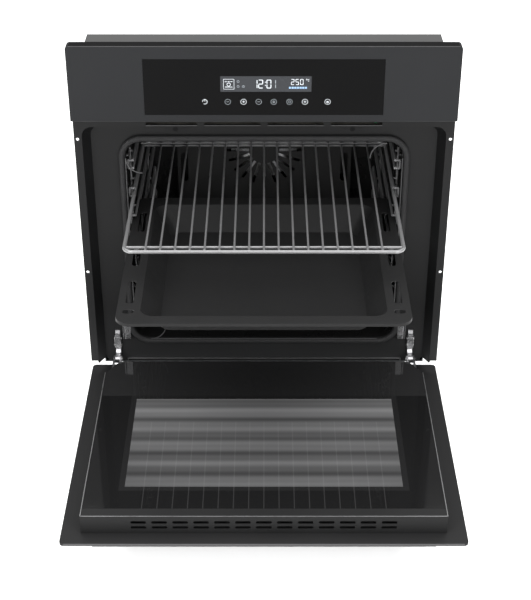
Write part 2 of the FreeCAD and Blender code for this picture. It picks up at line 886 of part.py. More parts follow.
def cavity_gasket():
    """Door seal round the cavity mouth."""
    body = new_body("cavity_gasket")
    out = "gasket_tube"
    slab(body, "Y", f"{RECESS} - gasket_rise", RECESS,
         rounded(f"-({GASKET_HALF} + {out})", f"gasket_low - {out}", f"{GASKET_HALF} + {out}",
                 f"gasket_high + {out}", f"gasket_corner + {out}"),
         rounded(f"-{GASKET_HALF}", "gasket_low", GASKET_HALF, "gasket_high", "gasket_corner"))
    round_edges(body, "gasket_round", lambda edge: lies_at(edge, "Y", f"{RECESS} - gasket_rise"))
    keep(body)


def mouth_brackets():
    """Small pierced brackets beside the cavity mouth, above the hinges."""
    body = new_body("mouth_bracket")
    high = "hook_low + hook_height"
    slab(body, "X", HOOK_HALF, f"{HOOK_HALF} + hook_gauge",
         rectangle(f"{RECESS} - hook_rise", "hook_low", RECESS, high))
    slab(body, "Y", f"{RECESS} - hook_gauge", RECESS,
         rectangle(f"{HOOK_HALF} - 4", f"{high} - 8", HOOK_HALF, high))
    hollow(body, "X", HOOK_HALF, f"{HOOK_HALF} + hook_gauge",
           circle(f"{RECESS} - hook_rise / 2", "hook_low + 8", "hook_hole"),
           circle(f"{RECESS} - hook_rise / 2", f"{high} - 8", "hook_hole"))
    keep(grouped("mouth_brackets", [body, mirrored("mouth_bracket_left", body)]))


def side_rack():
    """Wire rack: six pairs of runners on two posts, open in front for the shelf and tray to pass."""
    body = new_body("right_side_rack")
    front = "front_y + rack_front"
    back = "front_y + rack_back"
    for index in range(LEVELS):
        middle = level_height(index)
        lower = f"{middle} - pair_gap / 2"
        upper = f"{middle} + pair_gap / 2"
        pipe(body, "X", RUNNER_X,
             bent_run([(front, lower), (back, lower), (back, upper), (front, upper)], "pair_gap / 2.1"),
             "Y", front, circle(RUNNER_X, lower, "rack_wire"))
        slab(body, "Z", lower, upper, circle(POST_X, front, "rack_wire"))
        for up in (lower, upper):
            slab(body, "X", RUNNER_X, POST_X, circle(front, up, "rack_wire"))
    low = f"{level_height(0)} - pair_gap"
    high = f"{level_height(LEVELS - 1)} + pair_gap"
    for depth in ("post_front", "post_back"):
        slab(body, "Z", low, high, circle(POST_X, f"front_y + {depth}", "rack_post"))
        for index in range(LEVELS):
            for sense in (-1, 1):
                up = f"{level_height(index)} + {sense} * pair_gap / 2"
                slab(body, "X", RUNNER_X, POST_X, circle(f"front_y + {depth}", up, "rack_post"))
    keep(body)
    keep(mirrored("left_side_rack", body))


def rack_studs():
    """Studs that hold the racks off the cavity walls."""
    studs = []
    for side, name in ((-1, "left"), (1, "right")):
        start = f"{POST_X} + rack_post" if side > 0 else "-cavity_half"
        for depth in ("post_front", "post_back"):
            for index in (0, LEVELS - 1):
                studs.append(rod(f"{name}_stud_{depth}_{index}", "X",
                                 (start, f"front_y + {depth}", level_height(index)),
                                 "rack_post_gap - rack_post", "stud_radius"))
    keep(grouped("rack_studs", studs))


def grill_heater():
    """Looped grill element below the cavity roof."""
    body = new_body("grill_heater")
    end = f"{CAVITY_BACK} + liner_gauge + element_end"
    near = "front_y + grill_front"
    back = "front_y + grill_back"
    turn = "front_y + grill_turn"
    half = [("grill_inner", turn), ("grill_inner", near), ("grill_half", near), ("grill_half", back),
            ("grill_end", back), ("grill_end", end)]
    points = [(f"-{x}", y) for x, y in reversed(half)] + half
    pipe(body, "Z", "cavity_roof - grill_drop", bent_run(points, "grill_bend"),
         "Y", end, circle("-grill_end", "cavity_roof - grill_drop", "element_wire"))
    keep(body)


def bottom_heater():
    """Looped element under the cavity floor."""
    body = new_body("bottom_heater")
    up = "cavity_floor - liner_gauge - element_wire - element_gap"
    pipe(body, "Z", up,
         rounded("-bottom_heater_half", "front_y + bottom_heater_front",
                 "bottom_heater_half", "front_y + bottom_heater_back", "bottom_heater_bend"),
         "Y", "front_y + (bottom_heater_front + bottom_heater_back) / 2",
         circle("bottom_heater_half", up, "element_wire"))
    keep(body)


def ring_heater():
    """Ring element round the convection fan, with its two leads."""
    ring = doc.addObject("Part::Torus", "ring_heater_loop")
    bind(ring, "Radius1", "ring_radius")
    bind(ring, "Radius2", "element_wire")
    depth = f"(({COVER_FACE} + gauge + {CAVITY_BACK}) / 2)"
    move(ring, ("0", depth, "fan_height"), along("Y"))
    pieces = [ring]
    for index, sense in enumerate((-1, 1)):
        pieces.append(rod(f"ring_lead_{index}", "Y",
                          (f"{sense} * ring_radius / 4", depth, "fan_height - ring_radius"),
                          f"{CAVITY_BACK} + liner_gauge + element_end - {depth}", "element_wire"))
    keep(joined("ring_heater", pieces))


def fan_cover():
    """Pierced cover over the convection fan, folded back to the cavity wall."""
    body = new_body("fan_cover_blank")
    slab(body, "Y", COVER_FACE, CAVITY_BACK,
         rounded("-fan_cover_half", "fan_cover_low", "fan_cover_half", "fan_cover_high", "12"))
    hollow(body, "Y", f"{COVER_FACE} + gauge", CAVITY_BACK,
           rounded("-fan_cover_half + gauge", "fan_cover_low + gauge", "fan_cover_half - gauge",
                   "fan_cover_high - gauge", "12 - gauge"))
    outlets = []
    for side in (-1, 1):
        middle = f"({side} * (fan_cover_half - 6 - side_slot_width / 2))"
        for low in ("fan_height - side_slot_height - 6", "fan_height + 6"):
            outlets.append(rounded(f"{middle} - side_slot_width / 2", low,
                                   f"{middle} + side_slot_width / 2", f"{low} + side_slot_height",
                                   "side_slot_width / 2.2"))
    hollow(body, "Y", COVER_FACE, f"{COVER_FACE} + gauge", *outlets)
    keep(minus("convection_fan_cover", body, fan_cover_slots()))


def fan_cover_slots():
    """Radial slots of the fan cover, as cutting blocks."""
    blocks = []
    for index in range(int(value("fan_slots"))):
        piece = doc.addObject("Part::Box", f"fan_slot_{index}")
        bind(piece, "Length", "fan_slot_outer - fan_slot_inner")
        bind(piece, "Width", "3 * gauge")
        bind(piece, "Height", "fan_slot_width")
        angle = 360 * index / value("fan_slots")
        piece.Placement = FreeCAD.Placement(
            FreeCAD.Vector(), FreeCAD.Rotation(FreeCAD.Vector(0, -1, 0), angle))
        inner = f"fan_slot_inner * cos({angle}) + fan_slot_width / 2 * sin({angle})"
        upward = f"fan_slot_inner * sin({angle}) - fan_slot_width / 2 * cos({angle})"
        for axis, text in zip("xyz", (inner, f"{COVER_FACE} - gauge", f"fan_height + {upward}")):
            bind(piece, f"Placement.Base.{axis}", text)
        blocks.append(piece)
    return blocks


def convection_fan():
    """Impeller: a back disc with a hub and upright blades."""
    body = new_body("convection_fan")
    back = f"({CAVITY_BACK} - fan_gap)"
    bore = circle("0", "0", "shaft_radius")
    slab(body, "Y", f"{back} - gauge", back, circle("0", "0", "fan_radius"), bore)
    slab(body, "Y", f"{back} - fan_blade_depth", f"{back} - gauge", circle("0", "0", "fan_hub"), bore)
    blade = slab(body, "Y", f"{back} - fan_blade_depth - gauge", f"{back} - gauge",
                 rectangle("fan_blade_inner", "-fan_blade_gauge / 2", "fan_radius - 2",
                           "fan_blade_gauge / 2"))
    turned_copies(body, blade, "N_Axis", "fan_blades")
    bind(body, "Placement.Base.z", "fan_height")
    keep(body)


def fan_shaft():
    """Shaft from the impeller through the back wall into its motor."""
    body = new_body("convection_fan_shaft")
    slab(body, "Y", f"{CAVITY_BACK} - fan_gap - fan_blade_depth - gauge", f"{BACK} + motor_length / 2",
         circle("0", "fan_height", "shaft_radius"))
    keep(body)


def fan_motor():
    """Motor of the convection fan on its round mounting plate."""
    body = new_body("convection_fan_motor")
    plate_back = f"{BACK} - gauge"
    slab(body, "Y", f"{plate_back} - 1.5", plate_back, circle("0", "fan_height", "dome_radius + 10"))
    slab(body, "Y", plate_back, f"{BACK} + motor_length", circle("0", "fan_height", "motor_radius"))
    hollow(body, "Y", f"{plate_back} - 1.5", f"{BACK} + motor_length / 2 + 1",
           circle("0", "fan_height", "shaft_radius + shaft_gap"))
    keep(body)


def oven_lamp():
    """Lamp holder through the cavity roof and its glass cover below it."""
    centre = ("lamp_x", "front_y + lamp_depth")
    lens = new_body("lamp_glass")
    slab(lens, "Z", "cavity_roof - 7", "cavity_roof", circle(*centre, "lamp_radius"))
    round_edges(lens, "4", lambda edge: lies_at(edge, "Z", "cavity_roof - 7"))
    keep(lens)
    holder = new_body("lamp_holder")
    slab(holder, "Z", "cavity_roof", "roof_height + 3", circle(*centre, "lamp_holder"))
    slab(holder, "Z", "roof_height", "roof_height + 1", circle(*centre, "lamp_holder + 5"))
    keep(holder)


def flue_pipe():
    """Short pipe that lets steam into the cooling air."""
    body = new_body("flue_pipe")
    slab(body, "Z", "cavity_roof + liner_gauge", "roof_height + 14",
         circle(FLUE_X, "front_y + flue_depth", "flue_radius"),
         circle(FLUE_X, "front_y + flue_depth", "flue_radius - 1.2"))
    keep(body)


def temperature_probe():
    """Probe rod with its collar on the cavity's back wall."""
    tip = rod("probe_rod", "Y", (PROBE_X, f"{CAVITY_BACK} - probe_length", "probe_height"),
              "probe_length + liner_gauge + element_end", "probe_radius")
    collar = rod("probe_collar", "Y", (PROBE_X, f"{CAVITY_BACK} - 2", "probe_height"),
                 "2", "probe_radius * 2.4")
    keep(joined("temperature_probe", [tip, collar]))


# Insulation -----------------------------------------------------------------------------------------


def insulation():
    """Mineral wool blankets between the cavity and the casing."""
    inside = f"({CASE_HALF} - gauge - 1)"
    side = "(cavity_half + liner_gauge + cover_gap)"
    low = "(cavity_floor - liner_gauge - 2 * element_wire - 2 * element_gap - 1)"
    top = "(cavity_roof + liner_gauge + cover_gap)"
    front = f"({RECESS_BACK} + 1)"
    back = f"({CAVITY_BACK} + liner_gauge + 1)"
    hinge_end = "front_y + cassette_back + 2"
    hinge_side = "(hinge_x - cassette_half - 2)"
    bottom = block("wool_bottom", (f"-{inside}", front, "gauge + 1"),
                   (inside, f"{BACK} - gauge - 3", low))
    notches = [block("wool_notch_left", (f"-{inside}", front, "0"), (f"-{hinge_side}", hinge_end, low)),
               block("wool_notch_right", (hinge_side, front, "0"), (inside, hinge_end, low))]
    keep(minus("insulation_bottom", bottom, notches))
    sheet_top = block("wool_top", (f"-{inside}", front, top),
                      (inside, "front_y + roof_run - 1", "roof_height - gauge - 1"))
    passages = [rod("wool_flue", "Z", (FLUE_X, "front_y + flue_depth", top), "roof_height",
                    "flue_radius + 2"),
                rod("wool_lamp", "Z", ("lamp_x", "front_y + lamp_depth", top), "roof_height",
                    "lamp_holder + 2")]
    keep(minus("insulation_top", sheet_top, passages))
    wall = block("wool_side", (side, front, f"{low} + 1"), (inside, f"{CAVITY_BACK}", f"{top} - 1"))
    corner = block("wool_side_notch", (side, front, "0"), (inside, hinge_end, "cassette_high + 2"))
    right = keep(minus("insulation_right", wall, [corner]))
    keep(mirrored("insulation_left", right))
    rear = block("wool_back", (f"-{inside}", back, f"{low} + 1"),
                 (inside, f"{BACK} - gauge - 4", f"{top} - 6"))
    holes = [rod("wool_shaft", "Y", ("0", back, "fan_height"), "body_depth", "shaft_hole + 6"),
             rod("wool_probe", "Y", (PROBE_X, back, "probe_height"), "body_depth", "probe_radius + 4"),
             block("wool_ring_leads", ("-ring_radius / 4 - 8", back, "fan_height - ring_radius - 8"),
                   ("ring_radius / 4 + 8", BACK, "fan_height - ring_radius + 8")),
             block("wool_grill_ends", ("-grill_end - 10", back, "cavity_roof - grill_drop - 8"),
                   ("grill_end + 10", BACK, "cavity_roof + 8"))]
    keep(minus("insulation_back", rear, holes))


# Cooling fan ----------------------------------------------------------------------------------------


def cooling_fan():
    """Cross-flow blower over the roof: rotor, curved housing and motor."""
    centre = ("front_y + blower_depth", "blower_height")
    rotor = new_body("cooling_fan_rotor")
    right = "(blower_left + blower_length)"
    start = "(blower_left + blower_end_gap)"
    end = f"({right} - blower_end_gap)"
    slab(rotor, "X", start, end, circle("0", "0", "blower_radius"),
         circle("0", "0", "blower_radius - blower_ring"))
    vanes = hollow(rotor, "X", f"{start} + 2", f"{end} - 2",
                   rectangle("blower_radius - blower_ring + 1.5", "-blower_vane / 2", "blower_radius + 1",
                             "blower_vane / 2"))
    turned_copies(rotor, vanes, "N_Axis", "blower_vanes")
    slab(rotor, "X", start, f"{start} + 2", circle("0", "0", "blower_radius - blower_ring + 1"))
    slab(rotor, "X", f"{end} - 2", end, circle("0", "0", "blower_radius - blower_ring + 1"))
    slab(rotor, "X", "blower_left - 1", start, circle("0", "0", "blower_shaft"))
    slab(rotor, "X", end, f"{right} + 22", circle("0", "0", "blower_shaft"))
    bind(rotor, "Placement.Base.y", centre[0])
    bind(rotor, "Placement.Base.z", centre[1])
    keep(rotor)

    housing = new_body("cooling_fan_housing")
    y_low = f"{centre[0]} - blower_shell - 2"
    inside_left = "blower_left + blower_wall"
    inside_right = f"{right} - blower_wall"
    slab(housing, "X", "blower_left", right,
         rectangle(y_low, "roof_height + cover_gap", f"{centre[0]} + blower_shell + 2",
                   f"{centre[1]} + blower_shell + 2"))
    hollow(housing, "X", inside_left, inside_right, circle(*centre, "blower_shell"))
    hollow(housing, "X", inside_left, inside_right,
           rectangle(f"{y_low} - 1", "roof_height + 2", centre[0], f"{centre[1]} - blower_shell / 2"))
    hollow(housing, "X", inside_left, inside_right,
           rectangle(f"{centre[0]} - 8", centre[1], f"{centre[0]} + blower_shell - 6",
                     f"{centre[1]} + blower_shell + 3"))
    hollow(housing, "X", "blower_left", right, circle(*centre, "blower_shaft + shaft_gap"))
    keep(housing)

    motor = new_body("cooling_fan_motor")
    slab(motor, "X", right, f"{right} + blower_motor_length", circle(*centre, "blower_motor"))
    hollow(motor, "X", right, f"{right} + 24", circle(*centre, "blower_shaft + shaft_gap"))
    keep(motor)


# Hinges ---------------------------------------------------------------------------------------------


def hinges():
    """Hinge cassettes in the frame, the arms hooked into them and the pivot pins."""
    anchor = circle("front_y + 84", "pivot_height + 14", "pin_radius")
    cassette = new_body("right_hinge_cassette")
    left = "hinge_x - cassette_half"
    right = "hinge_x + cassette_half"
    slab(cassette, "X", left, right,
         rectangle(RECESS_BACK, "cassette_low", "front_y + cassette_back", "cassette_high"))
    hollow(cassette, "X", f"{left} + 1.5", f"{right} - 1.5",
           rectangle(RECESS_BACK, "cassette_low + 1.5", "front_y + cassette_back - 1.5",
                     "cassette_high - 1.5"))
    slab(cassette, "X", f"{left} + 1", f"{right} - 1", anchor)
    keep(cassette)
    keep(mirrored("left_hinge_cassette", cassette))

    arm = new_body("right_hinge_arm")
    under = "pivot_height - hinge_body_radius"
    over = "pivot_height + hinge_body_radius"
    slab(arm, "X", "hinge_x - arm_half", "hinge_x + arm_half",
         polygon([(PIVOT_Y, under), (f"{RECESS} + 8", under), (f"{RECESS} + 18", "pivot_height + 4"),
                  ("front_y + 104", "pivot_height + 4"), ("front_y + 104", "pivot_height + 26"),
                  (f"{RECESS} + 20", "cassette_high - 14"), (f"{RECESS} + 2", "cassette_high - 8"),
                  (f"{RECESS} - 5", "cassette_high - 12"), (f"{RECESS} - 5", f"{over} + 4"),
                  (f"{RECESS} - 9", over), (PIVOT_Y, over)]))
    slab(arm, "X", "hinge_x - arm_half", "hinge_x + arm_half",
         circle(PIVOT_Y, "pivot_height", "hinge_body_radius"))
    hollow(arm, "X", "hinge_x - arm_half", "hinge_x + arm_half",
           circle(PIVOT_Y, "pivot_height", "pin_radius"), anchor)
    keep(arm)
    keep(mirrored("left_hinge_arm", arm))

    pins = [rod(f"hinge_pin_{name}", "X",
                (f"{side} * hinge_x - hinge_body_half - 1", PIVOT_Y, "pivot_height"),
                "2 * hinge_body_half + 2", "pin_radius") for side, name in ((-1, "left"), (1, "right"))]
    keep(grouped("hinge_pins", pins))


def door_hinge_bodies():
    """Forked hinge bodies fixed in the door's side profiles."""
    body = new_body("right_door_hinge_body")
    under = "pivot_height - hinge_body_radius"
    over = "pivot_height + hinge_body_radius"
    start = f"{PIVOT_Y} + hinge_body_radius - hinge_body_length"
    slab(body, "X", "hinge_x - hinge_body_half", "hinge_x + hinge_body_half",
         rectangle(start, under, PIVOT_Y, over))
    slab(body, "X", "hinge_x - hinge_body_half", "hinge_x + hinge_body_half",
         circle(PIVOT_Y, "pivot_height", "hinge_body_radius"))
    hollow(body, "Z", f"{under} - 1", f"{over} + 1",
           rectangle("hinge_x - hinge_fork", f"{start} + 40", "hinge_x + hinge_fork",
                     f"{PIVOT_Y} + hinge_body_radius + 1"))
    hollow(body, "X", "hinge_x - hinge_body_half", "hinge_x + hinge_body_half",
           circle(PIVOT_Y, "pivot_height", "pin_radius + pin_gap"))
    keep(body)
    keep(mirrored("left_door_hinge_body", body))


# Door -----------------------------------------------------------------------------------------------


def door_glasses():
    """Outer, middle and inner panes of the open door."""
    outer = new_body("door_outer_glass")
    slab(outer, "Z", DOOR_UNDER, GLASS_TOP,
         rounded("-width / 2", DOOR_FRONT, "width / 2", DOOR_END, "door_corner"))
    hollow(outer, "Z", DOOR_UNDER, GLASS_TOP,
           circle("-post_half", f"{DOOR_FRONT} + handle_inset", "screw_radius + screw_gap"),
           circle("post_half", f"{DOOR_FRONT} + handle_inset", "screw_radius + screw_gap"))
    keep(outer)

    middle = new_body("door_middle_glass")
    slab(middle, "Z", f"{DOOR_UNDER} + middle_height", f"{DOOR_UNDER} + middle_height + middle_glass",
         rectangle("-middle_half", f"{VENT_BACK} + 4", "middle_half", "front_y - 18"))
    keep(middle)

    inner = new_body("door_inner_glass")
    half = "(inner_half - profile_edge - inner_glass_gap)"
    near = f"{VENT_BACK} + inner_glass_gap"
    end = "front_y - profile_wall - inner_glass_gap"
    slab(inner, "Z", f"{DOOR_OVER} - inner_glass", DOOR_OVER,
         polygon([(f"-{half}", near), (half, near), (half, "front_y - chamfer_length"),
                  (f"{half} - chamfer_width", end), (f"-({half} - chamfer_width)", end),
                  (f"-{half}", "front_y - chamfer_length")]))
    keep(inner)


def door_side_profiles():
    """Channels down the sides of the door, with the corner cut back at the hinge."""
    body = new_body("door_right_profile")
    near = VENT_BACK
    inner = "inner_half - profile_width"
    under_glass = f"{DOOR_OVER} - inner_glass"
    edge_inner = "inner_half - profile_edge"
    slab(body, "Y", near, "front_y",
         polygon([(inner, GLASS_TOP), ("inner_half", GLASS_TOP), ("inner_half", DOOR_OVER),
                  (edge_inner, DOOR_OVER), (edge_inner, under_glass), (inner, under_glass)]))
    hollow(body, "Y", near, "front_y",
           rectangle(f"{inner} + profile_wall", f"{GLASS_TOP} + profile_wall", edge_inner,
                     f"{under_glass} - profile_wall"))
    hollow(body, "Z", GLASS_TOP, DOOR_OVER,
           polygon([("inner_half + 1", "front_y - chamfer_length - chamfer_length / chamfer_width"),
                    ("inner_half + 1", "front_y + 1"), ("inner_half - chamfer_width", "front_y + 1"),
                    ("inner_half - chamfer_width", "front_y")]))
    keep(body)
    keep(mirrored("door_left_profile", body))


def door_vent_bar():
    """Hollow bar along the door's top edge with two rows of air slots."""
    body = new_body("door_vent_bar")
    slab(body, "Y", VENT_FACE, VENT_BACK, rectangle("-inner_half", GLASS_TOP, "inner_half", DOOR_OVER))
    hollow(body, "Y", f"{VENT_FACE} + profile_wall", VENT_BACK,
           rectangle("-inner_half + profile_wall", f"{GLASS_TOP} + profile_wall",
                     "inner_half - profile_wall",
                     f"{DOOR_OVER} - profile_wall"))
    left = "(-(door_vents - 1) / 2 * door_vent_pitch - door_vent_width / 2)"
    right = f"({left} + door_vent_width)"
    rows = [rounded(left, f"{DOOR_UNDER} + {low}", right, f"{DOOR_UNDER} + {low} + door_vent_height",
                    "door_vent_height / 2.2") for low in ("door_vent_low", "door_vent_high")]
    slots = hollow(body, "Y", VENT_FACE, f"{VENT_FACE} + profile_wall", *rows)
    doc.recompute()
    stepped_copies(body, slots, "X_Axis", "door_vent_pitch", "door_vents")
    keep(body)


def door_bottom_profile():
    """Angle along the hinge edge that carries the glasses between the hinges."""
    body = new_body("door_bottom_profile")
    half = "(hinge_x - hinge_body_half - 5)"
    under_glass = f"{DOOR_OVER} - inner_glass"
    slab(body, "X", f"-{half}", half,
         polygon([("front_y - 14", GLASS_TOP), ("front_y + 20", GLASS_TOP),
                  ("front_y + 20", f"{GLASS_TOP} + 3"), ("front_y", f"{GLASS_TOP} + 3"),
                  ("front_y", DOOR_OVER), ("front_y - profile_wall", DOOR_OVER),
                  ("front_y - profile_wall", under_glass), ("front_y - 14", under_glass)]))
    hollow(body, "X", f"-{half}", half,
           rectangle("front_y - 12.5", f"{GLASS_TOP} + profile_wall", "front_y - profile_wall",
                     f"{under_glass} - profile_wall"))
    keep(body)


def glass_spacers():
    """Corner blocks that keep the three panes apart."""
    spacers = []
    middle = f"({DOOR_UNDER} + middle_height)"
    for side in (-1, 1):
        left = f"{side} * (middle_half - spacer_width / 2 - 1) - spacer_width / 2"
        for name, start in (("near", f"{VENT_BACK} + 8"), ("far", "front_y - 20 - spacer_length")):
            layers = ((GLASS_TOP, middle), (f"{middle} + middle_glass", f"{DOOR_OVER} - inner_glass"))
            for index, (low, high) in enumerate(layers):
                label = f"spacer_{name}_{side + 1}_{index}"
                spacers.append(block(label, (left, start, low),
                                     (f"{left} + spacer_width", f"{start} + spacer_length", high)))
    keep(grouped("glass_spacers", spacers))


def door_handle():
    """Bar handle on two posts, with the screws that hold it from inside the door."""
    centre_y = f"{DOOR_FRONT} + handle_inset"
    centre_z = f"{DOOR_UNDER} - handle_reach"
    bar = new_body("handle_bar")
    slab(bar, "X", "-handle_half", "handle_half", circle(centre_y, centre_z, "handle_radius"))
    round_edges(bar, "2",
                lambda edge: lies_at(edge, "X", "handle_half") or lies_at(edge, "X", "-handle_half"))
    keep(bar)
    posts = []
    screws = []
    for side, name in ((-1, "left"), (1, "right")):
        x = f"{side} * post_half"
        solid = block(f"post_{name}", (f"{x} - post_width / 2", f"{centre_y} - post_depth / 2",
                                       f"{centre_z}"),
                      (f"{x} + post_width / 2", f"{centre_y} + post_depth / 2", DOOR_UNDER))
        seat = rod(f"post_seat_{name}", "X", (f"{x} - post_width", centre_y, centre_z), "2 * post_width",
                   "handle_radius")
        bore = rod(f"post_bore_{name}", "Z", (x, centre_y, f"{DOOR_UNDER} - 22"), "22 + outer_glass",
                   "screw_radius + screw_gap / 2")
        posts.append(minus(f"handle_post_{name}", solid, [seat, bore]))
        shank = rod(f"handle_shank_{name}", "Z", (x, centre_y, f"{DOOR_UNDER} - 20"), "20 + outer_glass",
                    "screw_radius")
        head = rod(f"handle_head_{name}", "Z", (x, centre_y, GLASS_TOP), "3", "screw_head")
        screws.append(joined(f"handle_screw_{name}", [shank, head]))
    keep(grouped("handle_posts", posts))
    keep(grouped("handle_screws", screws))


# Inside the cavity, drawn out -----------------------------------------------------------------------


def wire_shelf():
    """Chromed shelf: a round-cornered rim, cross wires and lengthwise bars."""
    up = f"({level_height(SHELF_LEVEL)} - {RIDE_DROP} + shelf_rim_wire)"
    front = "(front_y + shelf_front + shelf_rim_wire)"
    back = "(front_y + shelf_front + shelf_depth - shelf_rim_wire)"
    side = f"({SHELF_HALF} - shelf_rim_wire)"
    rim = new_body("wire_shelf_rim")
    pipe(rim, "Z", up, rounded(f"-{side}", front, side, back, "shelf_corner"),
         "Y", f"({front} + {back}) / 2", circle(side, up, "shelf_rim_wire"))
    keep(rim)

    bars = []
    bar_up = f"{up} + shelf_rim_wire"
    count = 8
    pitch = f"({side} - shelf_bar_inset) / {count}"
    for index in range(-count, count + 1):
        bars.append(rod(f"shelf_bar_{index + count}", "Y", (f"{index} * {pitch}", front, bar_up),
                        f"{back} - {front}", "shelf_bar_wire"))
    for name, y in (("front", f"{front} + shelf_cross_inset"), ("back", f"{back} - shelf_cross_inset")):
        bars.append(rod(f"shelf_cross_{name}", "X", (f"-{side}", y, up), f"2 * {side}",
                        "shelf_bar_wire * 1.25"))
    keep(joined("wire_shelf_bars", bars))


def tray_outline(front, back, spread):
    """Outline of the tray's well at its rim, moved outwards by a spread."""
    half = f"({TRAY_HALF} - tray_side_rim + {spread})"
    return rounded(f"-{half}", f"{front} + tray_front_rim - {spread}", half,
                   f"{back} - tray_back_rim + {spread}", "tray_well_corner")


def baking_tray():
    """Deep enamelled tray with a wide rim and slots in its sides."""
    top = f"({level_height(TRAY_LEVEL)} - {RIDE_DROP} + tray_lip)"
    front = "(front_y + tray_front)"
    back = "(front_y + tray_front + tray_depth)"
    body = new_body("baking_tray")
    slab(body, "Z", f"{top} - tray_lip", top,
         rounded(f"-{TRAY_HALF}", front, TRAY_HALF, back, "tray_corner"))
    hollow(body, "Z", f"{top} - tray_lip", f"{top} - tray_gauge",
           rounded(f"-{TRAY_HALF} + tray_gauge", f"{front} + tray_gauge", f"{TRAY_HALF} - tray_gauge",
                   f"{back} - tray_gauge", "tray_corner - tray_gauge"))
    floor = f"({top} - tray_well)"
    loft(body, "AdditiveLoft", "Z",
         f"{top} - tray_gauge", tray_outline(front, back, "tray_gauge"),
         floor, tray_outline(front, back, "(tray_gauge - tray_slope)"))
    loft(body, "SubtractiveLoft", "Z",
         top, tray_outline(front, back, "0"),
         f"{floor} + tray_gauge", tray_outline(front, back, "-tray_slope"))
    slots = []
    for side in (-1, 1):
        middle = f"({side} * ({TRAY_HALF} - tray_slot_inset))"
        for start in ("tray_depth * 0.14", "tray_depth * 0.42", "tray_depth * 0.7"):
            low = f"{front} + {start}"
            slots.append(rounded(f"{middle} - tray_slot_width / 2", low,
                                 f"{middle} + tray_slot_width / 2", f"{low} + tray_slot_length",
                                 "tray_slot_width / 2.2"))
        low = f"{front} + tray_depth * 0.07"
        slots.append(rounded(f"{middle} - 8.5", low, f"{middle} + 8.5", f"{low} + tray_slot_width",
                             "tray_slot_width / 2.2"))
    hollow(body, "Z", f"{top} - tray_gauge", top, *slots)
    keep(body)


# Outside fittings -----------------------------------------------------------------------------------


def terminal_block():
    """Mains terminal box on the rear cover, with its cable inlet."""
    shell = block("terminal_shell", ("terminal_x - terminal_width / 2", BACK, "terminal_low"),
                  ("terminal_x + terminal_width / 2", f"{BACK} + terminal_depth",
                   "terminal_low + terminal_height"))
    inlet = rod("terminal_inlet", "Z", ("terminal_x", f"{BACK} + terminal_depth / 2", "terminal_low - 1"),
                "terminal_height / 2", "cable_inlet")
    keep(minus("terminal_block", shell, [inlet]))


def case_screws():
    """Screw heads that hold the rear cover."""
    screws = []
    top = "(roof_height - roof_drop)"
    for side in (-1, 1):
        x = f"{side} * ({CASE_HALF} - case_screw_inset)"
        for index, up in enumerate(("case_screw_low", f"{top} / 2 + 34", f"{top} - 24")):
            screws.append(rod(f"case_screw_{side + 1}_{index}", "Y", (x, BACK, up), "case_screw_head",
                              "case_screw_radius"))
    keep(grouped("case_screws", screws))


# Build ----------------------------------------------------------------------------------------------


def build():
    """Make every sub-part."""
    front_frame()
    side_panels()
    base_plate()
    roof_cover()
    rear_cover()
    control_box()
    control_fascia()
    touch_glass()
    display_module()
    touch_key_board()
    power_board()
    cavity_liner()
    cavity_gasket()
    mouth_brackets()
    side_rack()
    rack_studs()
    grill_heater()
    bottom_heater()
    ring_heater()
    fan_cover()
    convection_fan()
    fan_shaft()
    fan_motor()
    oven_lamp()
    flue_pipe()
    temperature_probe()
    insulation()
    cooling_fan()
    hinges()
    door_hinge_bodies()
    door_glasses()
    door_side_profiles()
    door_vent_bar()
    door_bottom_profile()
    glass_spacers()
    door_handle()
    wire_shelf()
    baking_tray()
    terminal_block()
    case_screws()


def check():
    """Stop if any object failed, any cut took nothing away, or any sub-part isn't sound."""
    for item in doc.Objects:
        if "Invalid" in item.State or "Error" in item.State:
            raise RuntimeError(f"{item.Name} did not build")
        if item.TypeId == "PartDesign::Pocket" and item.BaseFeature is not None:
            if item.Shape.Volume > item.BaseFeature.Shape.Volume - 0.01:
                raise RuntimeError(f"{item.Name} cuts nothing away")
    for part in parts:
        if part.Shape.isNull() or not part.Shape.isValid() or not part.Shape.Solids:
            raise RuntimeError(f"{part.Label} is not a sound solid")


def export():
    """Write each sub-part to its own file."""
    os.makedirs("parts", exist_ok=True)
    for part in parts:
        part.Shape.exportStep(f"parts/{part.Label}.step")


fill_sheet()
build()
doc.recompute()
check()
export()
for part in parts:
    print(part.Label, len(part.Shape.Solids), round(part.Shape.Volume / 1000, 2))
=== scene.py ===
"""Looks of a built-in wall oven, shown with its door open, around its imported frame."""

import logging
import math
from dataclasses import dataclass, field
from enum import Enum
from typing import Any, Sequence

import bmesh
import bpy
from mathutils import Matrix, Vector


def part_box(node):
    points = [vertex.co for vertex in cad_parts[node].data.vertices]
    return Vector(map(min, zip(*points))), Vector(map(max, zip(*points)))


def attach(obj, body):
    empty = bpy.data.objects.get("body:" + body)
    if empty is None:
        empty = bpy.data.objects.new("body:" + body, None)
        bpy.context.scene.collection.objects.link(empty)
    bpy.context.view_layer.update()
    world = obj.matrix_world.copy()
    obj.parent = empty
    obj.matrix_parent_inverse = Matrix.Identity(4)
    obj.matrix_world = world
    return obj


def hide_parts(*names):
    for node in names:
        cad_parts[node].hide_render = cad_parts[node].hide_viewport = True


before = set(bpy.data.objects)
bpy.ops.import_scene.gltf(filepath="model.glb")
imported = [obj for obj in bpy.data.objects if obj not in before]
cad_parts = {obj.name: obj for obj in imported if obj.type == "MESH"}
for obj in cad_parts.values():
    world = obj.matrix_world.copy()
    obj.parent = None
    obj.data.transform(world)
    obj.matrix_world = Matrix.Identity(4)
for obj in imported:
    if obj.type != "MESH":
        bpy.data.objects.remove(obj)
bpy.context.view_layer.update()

log = logging.getLogger("wall_oven")
MM = 0.001
STROKE_DEPTH = 0.05 * MM  # how far a lit figure stands off the glass
Colour = tuple[float, float, float]
